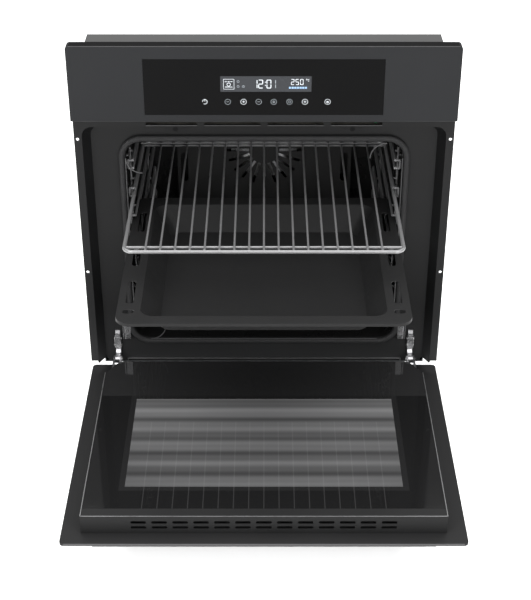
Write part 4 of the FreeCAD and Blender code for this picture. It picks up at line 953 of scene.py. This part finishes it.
    def heat(self, right: float, middle: float) -> None:
        """Temperature figures and the bar under them.

        Args:
            right: The field's right edge.
            middle: Its middle height.
        """
        small = Segments(5.0 * MM, 9.4 * MM, 0.85 * MM)
        tiny = Segments(2.2 * MM, 3.6 * MM, 0.6 * MM)
        lit = bmesh.new()
        for index, figure in enumerate("250"):
            small.add(lit, figure, right - self.heat_start + index * self.heat_pitch, self.front,
                      middle - 1.4 * MM)
        tiny.add(lit, "C", right - 5.4 * MM, self.front, middle + 4.4 * MM)
        self.ring(lit, right - 7.2 * MM, middle + 7.4 * MM, 0.8 * MM, 0.45 * MM)
        self.mark("heat_figures", lit, WHITE_LIT)
        blue = bmesh.new()
        for index in range(self.bar_count):
            x = right - self.bar_start + index * self.bar_pitch
            self.bar(blue, x, middle - 7.5 * MM, x + 3.2 * MM, middle - 4.5 * MM)
        self.mark("heat_bar", blue, BLUE_LIT)

    def mode_symbol(self, x: float, z: float) -> None:
        """A boxed grill symbol, and three small dim marks beside it.

        Args:
            x: The box's middle across.
            z: The box's middle height.
        """
        lit = bmesh.new()
        half = 8 * MM
        line = 0.5 * MM
        for sense in (-1, 1):
            edge = sense * half
            self.bar(lit, x - half, z + edge - line, x + half, z + edge)
            self.bar(lit, x + edge - line, z - half, x + edge, z + half)
        for index in range(3):
            start = x - 6 * MM + index * 4.2 * MM
            self.bar(lit, start, z + 3.4 * MM, start + 3 * MM, z + 4.2 * MM)
        self.bar(lit, x - 6 * MM, z - 5.2 * MM, x + 5.4 * MM, z - 4.4 * MM)
        self.ring(lit, x - 0.3 * MM, z - 0.8 * MM, 2.6 * MM, 0.7 * MM)
        self.mark("mode_symbol", lit, WHITE_LIT)
        dim = bmesh.new()
        for across, up in ((14, 4), (14, -4), (22, -4)):
            middle, level = x + across * MM, z + up * MM
            self.ring(dim, middle, level, 1.7 * MM, 0.5 * MM)
            self.bar(dim, middle - line / 2, level, middle + line / 2, level + 1.4 * MM)
        self.mark("mode_symbols_dim", dim, DIM_LIT)

    def touch_keys(self) -> None:
        """Eight touch symbols under the display, all but the first ringed."""
        z = self.fascia_low[2] + self.key_rise
        for index, place in enumerate(self.key_places):
            mesh = bmesh.new()
            x = place * MM
            if index:
                self.ring(mesh, x, z, self.ring_radius, self.line * 0.7)
            self.key_symbol(mesh, index, x, z)
            finish = WHITE_LIT if index in self.bright_keys else DIM_LIT
            self.mark(f"touch_symbol_{index + 1}", mesh, finish)

    def key_symbol(self, mesh: bmesh.types.BMesh, index: int, x: float, z: float) -> None:
        """The mark inside one touch key: a stroke pattern chosen by its place.

        Args:
            mesh: The bmesh to add to.
            index: Which key it is.
            x: The key's place across.
            z: The key's height.
        """
        half = self.line / 2
        thin, reach = half * 0.8, self.key_half
        if index == 0:
            self.ring(mesh, x, z, 3.6 * MM, self.line, -240.0, 300.0)
            self.bar(mesh, x - half, z + 0.6 * MM, x + half, z + 4.6 * MM)
            return
        if index in (2, 4, 6):
            self.bar(mesh, x - thin, z - reach, x + thin, z + reach)
        if index in (1, 2, 3, 6, 7):
            self.bar(mesh, x - reach, z - thin, x + reach, z + thin)
        if index in (4, 5):
            self.ring(mesh, x, z, 1.7 * MM, self.line * 0.7)
        if index == 7:
            self.ring(mesh, x, z - 0.6 * MM, 1.3 * MM, self.line)


@dataclass
class FrontFrame:
    """Pressed front frame with its air lips, pressed marks, seal and hinge latches."""

    shop: Workshop
    body: str = "cabinet"
    seal_radius: float = 5.0 * MM
    seal_inset: float = 6 * MM
    seal_corner: float = 33 * MM
    bead_radius: float = 0.8 * MM
    bead_inset: float = 12.6 * MM
    bead_corner: float = 26 * MM
    clip_span: tuple[float, float] = (229 * MM, 239 * MM)
    mark_place: tuple[float, float] = (138 * MM, 451.6 * MM)
    lip_height: float = 458.2 * MM
    lip_spans: tuple[tuple[float, float], ...] = ((5.5, 93.0), (104.0, 184.0))
    sill_half: float = 236 * MM
    sill_depth: float = 22 * MM
    latch_front: float = -231 * MM
    latch_half: float = 5.5 * MM

    def build(self) -> None:
        """Dress the frame and add its small pieces."""
        self.shop.dress(DARK_PAINT, "frame_paint", "front_frame")
        self.shop.dress(BRIGHT, "bright_steel", "mouth_brackets", "left_hinge_arm", "right_hinge_arm",
                        "left_hinge_cassette", "right_hinge_cassette", "hinge_pins")
        self.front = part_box("front_frame")[0][1]
        self.mouth_low, self.mouth_high = vectors(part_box("cavity_gasket"))
        self.seal()
        self.mouth_edge_highlight()
        self.mouth_clips()
        self.pressed_marks_painted_shade()
        self.air_lips()
        self.sill()
        for side in Sense:
            self.hinge_latch(side)

    def ring_box(self, inset: float) -> tuple[float, float, float, float]:
        """Left, right, lower and upper sides of the mouth's ring, drawn in by a distance."""
        low, high = self.mouth_low, self.mouth_high
        return low[0] + inset, high[0] - inset, low[2] + inset, high[2] - inset

    def seal(self) -> None:
        """The braided door seal: a round section drawn along the sides and spun round the corners."""
        left, right, under, over = self.ring_box(self.seal_inset)
        corner = self.seal_corner
        y = self.mouth_low[1] + 4.2 * MM
        mesh = bmesh.new()
        start = Vector((right, y, (under + over) / 2))
        place = Matrix.Translation(start) @ Matrix.Diagonal((1.0, 0.8, 1.0, 1.0))
        profile = bmesh.ops.create_circle(mesh, cap_ends=False, segments=14, radius=self.seal_radius)["verts"]
        bmesh.ops.transform(mesh, matrix=place, verts=profile)
        edges = list({edge for vert in profile for edge in vert.link_edges})
        route = (
            (Vector((right, y, over - corner)), Vector((right - corner, y, over - corner))),
            (Vector((left + corner, y, over)), Vector((left + corner, y, over - corner))),
            (Vector((left, y, under + corner)), Vector((left + corner, y, under + corner))),
            (Vector((right - corner, y, under)), Vector((right - corner, y, under + corner))),
        )
        at = start
        for straight_end, centre in route:
            edges = self.extruded(mesh, edges, straight_end - at)
            spun = bmesh.ops.spin(mesh, geom=edges, cent=centre, axis=(0, -1, 0), angle=math.pi / 2, steps=10)
            edges = [item for item in spun["geom_last"] if isinstance(item, bmesh.types.BMEdge)]
            at = centre + Matrix.Rotation(-math.pi / 2, 3, "Y") @ (straight_end - centre)
        self.extruded(mesh, edges, start - at)
        self.shop.piece("door_seal", mesh, Braid(), "gasket_fibre", self.body, ("cavity_gasket",))

    @staticmethod
    def extruded(mesh: bmesh.types.BMesh, edges: Sequence[Any], step: Vector) -> list[Any]:
        """Draw an open loop of edges along a step.

        Args:
            mesh: The bmesh.
            edges: The loop.
            step: How far and which way.

        Returns:
            The loop at its new place.
        """
        made = bmesh.ops.extrude_edge_only(mesh, edges=list(edges))["geom"]
        verts = [item for item in made if isinstance(item, bmesh.types.BMVert)]
        bmesh.ops.translate(mesh, verts=verts, vec=step)
        return [item for item in made if isinstance(item, bmesh.types.BMEdge)
                and all(vert in verts for vert in item.verts)]

    def mouth_edge_highlight(self) -> None:
        """Pale bead along the seal's inner edge round the mouth: a painted highlight standing in for light
        caught on the mouth's metal edge.
        """
        left, right, under, over = self.ring_box(self.bead_inset)
        turn, radius = self.bead_corner, self.bead_radius
        y = self.mouth_low[1] + 0.9 * MM
        mesh = bmesh.new()
        for z in (under, over):
            add_rod(mesh, (left + turn, y, z), (right - turn, y, z), radius, 8)
        for x in (left, right):
            add_rod(mesh, (x, y, under + turn), (x, y, over - turn), radius, 8)
        for x, z, start in ((left + turn, under + turn, 90.0), (left + turn, over - turn, 180.0),
                            (right - turn, over - turn, 270.0), (right - turn, under + turn, 0.0)):
            add_ring(mesh, (x, y - radius, z), turn, 2 * radius, 2 * radius, start, 90.0)
        self.shop.piece("mouth_edge_highlight", mesh, HIGHLIGHT_PAINT, "gasket_fibre", self.body)

    def mouth_clips(self) -> None:
        """Riveted clip beside each mouth bracket."""
        y = self.mouth_low[1]
        low, high = vectors(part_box("mouth_brackets"))
        mesh = bmesh.new()
        for side in Sense:
            near, far = sorted(side.value * edge for edge in self.clip_span)
            add_bar(mesh, (near, y + 0.4 * MM, low[2]), (far, y + 1.4 * MM, high[2]), 0.4 * MM)
            x = (near + far) / 2
            for z in (low[2] + 8 * MM, high[2] - 8 * MM):
                add_rod(mesh, (x, y - 0.2 * MM, z), (x, y + 1.2 * MM, z), 2.4 * MM)
        self.shop.piece("mouth_clips", mesh, BRIGHT, "steel_bright", self.body)

    def pressed_marks_painted_shade(self) -> None:
        """Two small pressed marks under the air slots, in near-black paint as painted shade in their hollows.
        """
        y = self.front + 2.2 * MM
        across, z = self.mark_place
        mesh = bmesh.new()
        for side in Sense:
            x = side.value * across
            add_rod(mesh, (x, y - 1.6 * MM, z), (x, y + 4 * MM, z), 4.2 * MM, 20, 2.6 * MM)
        self.shop.piece("pressed_marks_painted_shade", mesh, SHADE_PAINT, "dark_paint", self.body)

    def air_lips(self) -> None:
        """Folded lips under the four air slots, in pale paint as painted highlights along them."""
        y, z = self.front, self.lip_height
        mesh = bmesh.new()
        for start, end in self.lip_spans:
            for side in Sense:
                left, right = sorted((side.value * start * MM, side.value * end * MM))
                add_bar(mesh, (left, y - 1.2 * MM, z - 0.9 * MM), (right, y + 0.4 * MM, z + 0.3 * MM),
                        0.3 * MM)
        self.shop.piece("air_slot_lips", mesh, HIGHLIGHT_PAINT, "dark_paint", self.body)

    def sill(self) -> None:
        """Folded edge along the foot of the frame, turned down at both ends, in bright steel as a painted
        highlight on the frame's lower edge.
        """
        half = self.sill_half
        back = self.front + self.sill_depth - 0.1 * MM
        front = self.front + self.sill_depth - 3.2 * MM
        mesh = bmesh.new()
        add_bar(mesh, (-half, front, 8.6 * MM), (half, back, 10.4 * MM), 0.5 * MM)
        for side in Sense:
            left, right = sorted((side.value * half, side.value * (half + 1.6 * MM)))
            add_bar(mesh, (left, front, 3.6 * MM), (right, back, 9.8 * MM), 0.4 * MM)
        self.shop.piece("frame_sill_highlight", mesh, EDGE_HIGHLIGHT_METAL, "dark_paint", self.body)

    def hinge_latch(self, side: Sense) -> None:
        """Locking clip over one hinge arm, with its rivets.

        Args:
            side: Which hinge.
        """
        low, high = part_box(f"{side.name.lower()}_hinge_arm")
        x, y, half = (low[0] + high[0]) / 2, self.latch_front, self.latch_half
        mesh = bmesh.new()
        for sense in (-1, 1):
            cheek = x + sense * (half - 0.6 * MM)
            add_bar(mesh, (cheek - 0.6 * MM, y - 2.2 * MM, 34 * MM),
                    (cheek + 0.6 * MM, y + 4.5 * MM, 56 * MM), 0.4 * MM)
        add_bar(mesh, (x - half, y - 2.4 * MM, 46 * MM), (x + half, y - 1.2 * MM, 56 * MM), 0.4 * MM)
        for z in (38 * MM, 51 * MM):
            add_rod(mesh, (x - 6.4 * MM, y + 1.5 * MM, z), (x + 6.4 * MM, y + 1.5 * MM, z), 1.7 * MM, 14)
        self.shop.piece(f"hinge_latch_{side.name.lower()}", mesh, BRIGHT, "steel_bright", self.body)


@dataclass
class Cavity:
    """Inside of the oven: liner, racks, fan, heaters, lamp."""

    shop: Workshop

    def build(self) -> None:
        """Dress the cavity's nodes."""
        self.shop.dress(LINER, "liner_enamel", "cavity_liner")
        self.shop.dress(COVER_ENAMEL, "cover_enamel", "convection_fan_cover")
        self.shop.dress(SHADED_RACK_WIRE, "rack_wire", "left_side_rack", "right_side_rack")
        self.shop.dress(FiredSteel(), "fired_steel", "grill_heater", "bottom_heater", "ring_heater")
        self.shop.dress(BRIGHT, "bright_steel", "rack_studs", "convection_fan", "convection_fan_shaft",
                        "temperature_probe")
        self.shop.dress(CLEAR, "clear_glass", "lamp_glass")
        self.shop.dress(WHITE_PLASTIC, "white_plastic", "lamp_holder")


@dataclass
class Door:
    """The drop-down door, open."""

    shop: Workshop
    body: str = "door"
    window_half: float = 208 * MM
    window_near: float = -606 * MM
    window_far: float = -381 * MM
    trim_line: float = 1.3 * MM
    highlight_end: float = 34 * MM

    def build(self) -> None:
        """Dress the door's nodes and add its painted edge highlights."""
        window = (self.window_half, self.window_near, self.window_far)
        self.shop.dress(WindowGlass(*window), "window_glass", "door_inner_glass")
        self.shop.dress(CLEAR, "clear_glass", "door_middle_glass")
        self.shop.dress(PrintedPane(*window), "door_glass_border", "door_outer_glass")
        self.shop.dress(DOOR_PAINT, "door_paint", "door_left_profile", "door_right_profile",
                        "door_vent_bar", "door_bottom_profile")
        self.shop.dress(FASCIA_PAINT, "fascia_paint", "handle_bar", "handle_posts")
        self.shop.dress(BRIGHT, "bright_steel", "handle_screws", "left_door_hinge_body",
                        "right_door_hinge_body")
        self.shop.dress(BLACK_PLASTIC, "black_plastic", "glass_spacers")
        self.edge_highlights()
        self.glass_edge()

    def edge_highlights(self) -> None:
        """Painted highlights: bright edge lines along the inner part's two sides and its vent bar."""
        low, high = vectors(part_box("door_vent_bar"))
        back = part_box("door_left_profile")[1][1] - self.highlight_end
        under, top = high[2] - 0.3 * MM, high[2] + 0.25 * MM
        mesh = bmesh.new()
        for side in Sense:
            x = side.value * high[0]
            left, right = sorted((x, x - side.value * self.trim_line))
            add_bar(mesh, (left, low[1], under), (right, back, top), 0.2 * MM)
        add_bar(mesh, (low[0], low[1], under), (high[0], low[1] + self.trim_line, top), 0.2 * MM)
        self.shop.piece("door_edge_highlight", mesh, EDGE_HIGHLIGHT_METAL, "profile_paint", self.body)

    def glass_edge(self) -> None:
        """Pale strip along the outer pane's near edge: painted highlight on the glass edge."""
        low, high = vectors(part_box("door_outer_glass"))
        mesh = bmesh.new()
        add_bar(mesh, (low[0] + 6 * MM, low[1] - 0.1 * MM, low[2] + 0.4 * MM),
                (high[0] - 6 * MM, low[1] + 0.8 * MM, high[2] + 0.1 * MM), 0.2 * MM)
        self.shop.piece("outer_glass_edge_highlight", mesh, HIGHLIGHT_PAINT, "black_glass", self.body)


@dataclass
class Inserts:
    """Wire shelf and baking tray."""

    shop: Workshop

    def build(self) -> None:
        """Dress both."""
        self.shop.dress(WIRE, "chrome_wire", "wire_shelf_rim", "wire_shelf_bars")
        self.shop.dress(TRAY_ENAMEL, "tray_enamel", "baking_tray")


@dataclass
class Casing:
    """Folded covers, insulation and the parts between them."""

    shop: Workshop
    body: str = "cabinet"
    rib_height: float = 1.2 * MM
    rib_half: float = 9 * MM
    rib_shares: tuple[float, ...] = (0.2, 0.47, 0.74)

    def build(self) -> None:
        """Dress the casing and press ribs into its sides."""
        self.shop.dress(ROOF_PAINT, "cover_paint", "control_box_cover")
        self.shop.dress(ZINC, "galvanised_sheet", "right_side_panel", "left_side_panel", "base_plate",
                        "top_cover", "rear_cover", "flue_pipe", "convection_fan_motor",
                        "cooling_fan_housing", "cooling_fan_motor")
        self.shop.dress(BrightSteel((0.6, 0.6, 0.61), 0.35), "aluminium_vanes", "cooling_fan_rotor")
        self.shop.dress(Wool(), "mineral_wool", "insulation_bottom", "insulation_top", "insulation_right",
                        "insulation_left", "insulation_back")
        self.shop.dress(BLACK_PLASTIC, "black_plastic", "terminal_block")
        self.shop.dress(BRIGHT, "bright_steel", "case_screws")
        for side in Sense:
            self.side_ribs(side)

    def side_ribs(self, side: Sense) -> None:
        """Three long pressed ribs on one casing side.

        Args:
            side: Which side.
        """
        low, high = vectors(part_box(f"{side.name.lower()}_side_panel"))
        x = high[0] if side is Sense.RIGHT else low[0]
        left, right = sorted((x - side.value * 0.2 * MM, x + side.value * self.rib_height))
        mesh = bmesh.new()
        for share in self.rib_shares:
            z = low[2] + (high[2] - low[2]) * share
            add_bar(mesh, (left, low[1] + 40 * MM, z - self.rib_half),
                    (right, high[1] - 60 * MM, z + self.rib_half), 1.1 * MM)
        self.shop.piece(f"casing_ribs_{side.name.lower()}", mesh, ZINC, "zinc_sheet", self.body)


@dataclass
class Studio:
    """Pale floor, soft lights and the camera."""

    floor_height: float = -0.11
    camera_at: Point = (0.0024, -2.1886, 1.3219)
    camera_pitch: float = 31.35
    lens: float = 81.24

    def build(self) -> None:
        """Set up everything round the object."""
        self.floor()
        self.world()
        self.light("roof_light", (0.0, 0.0, 3.6), (0.0, 0.0, 0.0), (7.0, 7.0), 420.0)
        self.light("left_light", (-1.4, -2.3, 1.25), (0.0, 0.0, 0.15), (0.9, 0.7), 34.0)
        self.light("right_light", (1.4, -2.3, 1.25), (0.0, 0.0, 0.15), (0.9, 0.7), 34.0)
        self.camera()

    def floor(self) -> None:
        """A wide pale floor."""
        mesh = bmesh.new()
        bmesh.ops.create_grid(mesh, x_segments=1, y_segments=1, size=20.0,
                              matrix=Matrix.Translation((0, 0, self.floor_height)))
        data = bpy.data.meshes.new("floor")
        mesh.to_mesh(data)
        mesh.free()
        item = bpy.data.objects.new("floor", data)
        bpy.context.scene.collection.objects.link(item)
        surface = Surface("floor_pale", Roughness=0.9, Specular_IOR_Level=0.0, Emission_Strength=0.45,
                          Emission_Color=(1.0, 1.0, 1.0, 1.0))
        surface.feed("Base Color", surface.tint(surface.noise(2.0), (0.93, 0.93, 0.93), (0.95, 0.95, 0.95)))
        data.materials.append(surface.material)

    def world(self) -> None:
        """Even pale light from all round."""
        world = bpy.data.worlds.new("studio")
        world.use_nodes = True
        background = world.node_tree.nodes["Background"]
        background.inputs["Color"].default_value = (1.0, 1.0, 1.0, 1.0)
        background.inputs["Strength"].default_value = 0.22
        bpy.context.scene.world = world
        bpy.context.scene.view_settings.view_transform = "Standard"

    def light(self, name: str, at: Point, target: Point, size: tuple[float, float], power: float) -> None:
        """Hang one soft light.

        Args:
            name: Its name.
            at: Where it is.
            target: What it points at.
            size: Its two sides.
            power: Its power in watts.
        """
        data = bpy.data.lights.new(name, "AREA")
        data.shape = "RECTANGLE"
        data.size, data.size_y = size
        data.energy = power
        item = bpy.data.objects.new(name, data)
        item.location = at
        item.rotation_euler = (Vector(target) - Vector(at)).to_track_quat("-Z", "Y").to_euler()
        bpy.context.scene.collection.objects.link(item)

    def camera(self) -> None:
        """Stand the camera in front and above, looking down into the oven."""
        data = bpy.data.cameras.new("camera")
        data.lens = self.lens
        data.sensor_width = 36.0
        item = bpy.data.objects.new("camera", data)
        item.location = self.camera_at
        item.rotation_euler = (math.radians(90.0 - self.camera_pitch), 0.0, 0.0)
        bpy.context.scene.collection.objects.link(item)
        bpy.context.scene.camera = item


def main() -> None:
    """Build every sub-assembly in order."""
    logging.basicConfig(level=logging.INFO, format="%(message)s")
    shop = Workshop()
    Studio().build()
    assemblies = (ControlPanel(shop), FrontFrame(shop), Cavity(shop), Door(shop), Inserts(shop), Casing(shop))
    for assembly in assemblies:
        assembly.build()
        log.info("%s done, %d pieces so far", type(assembly).__name__, shop.count)


if __name__ == "__main__":
    main()
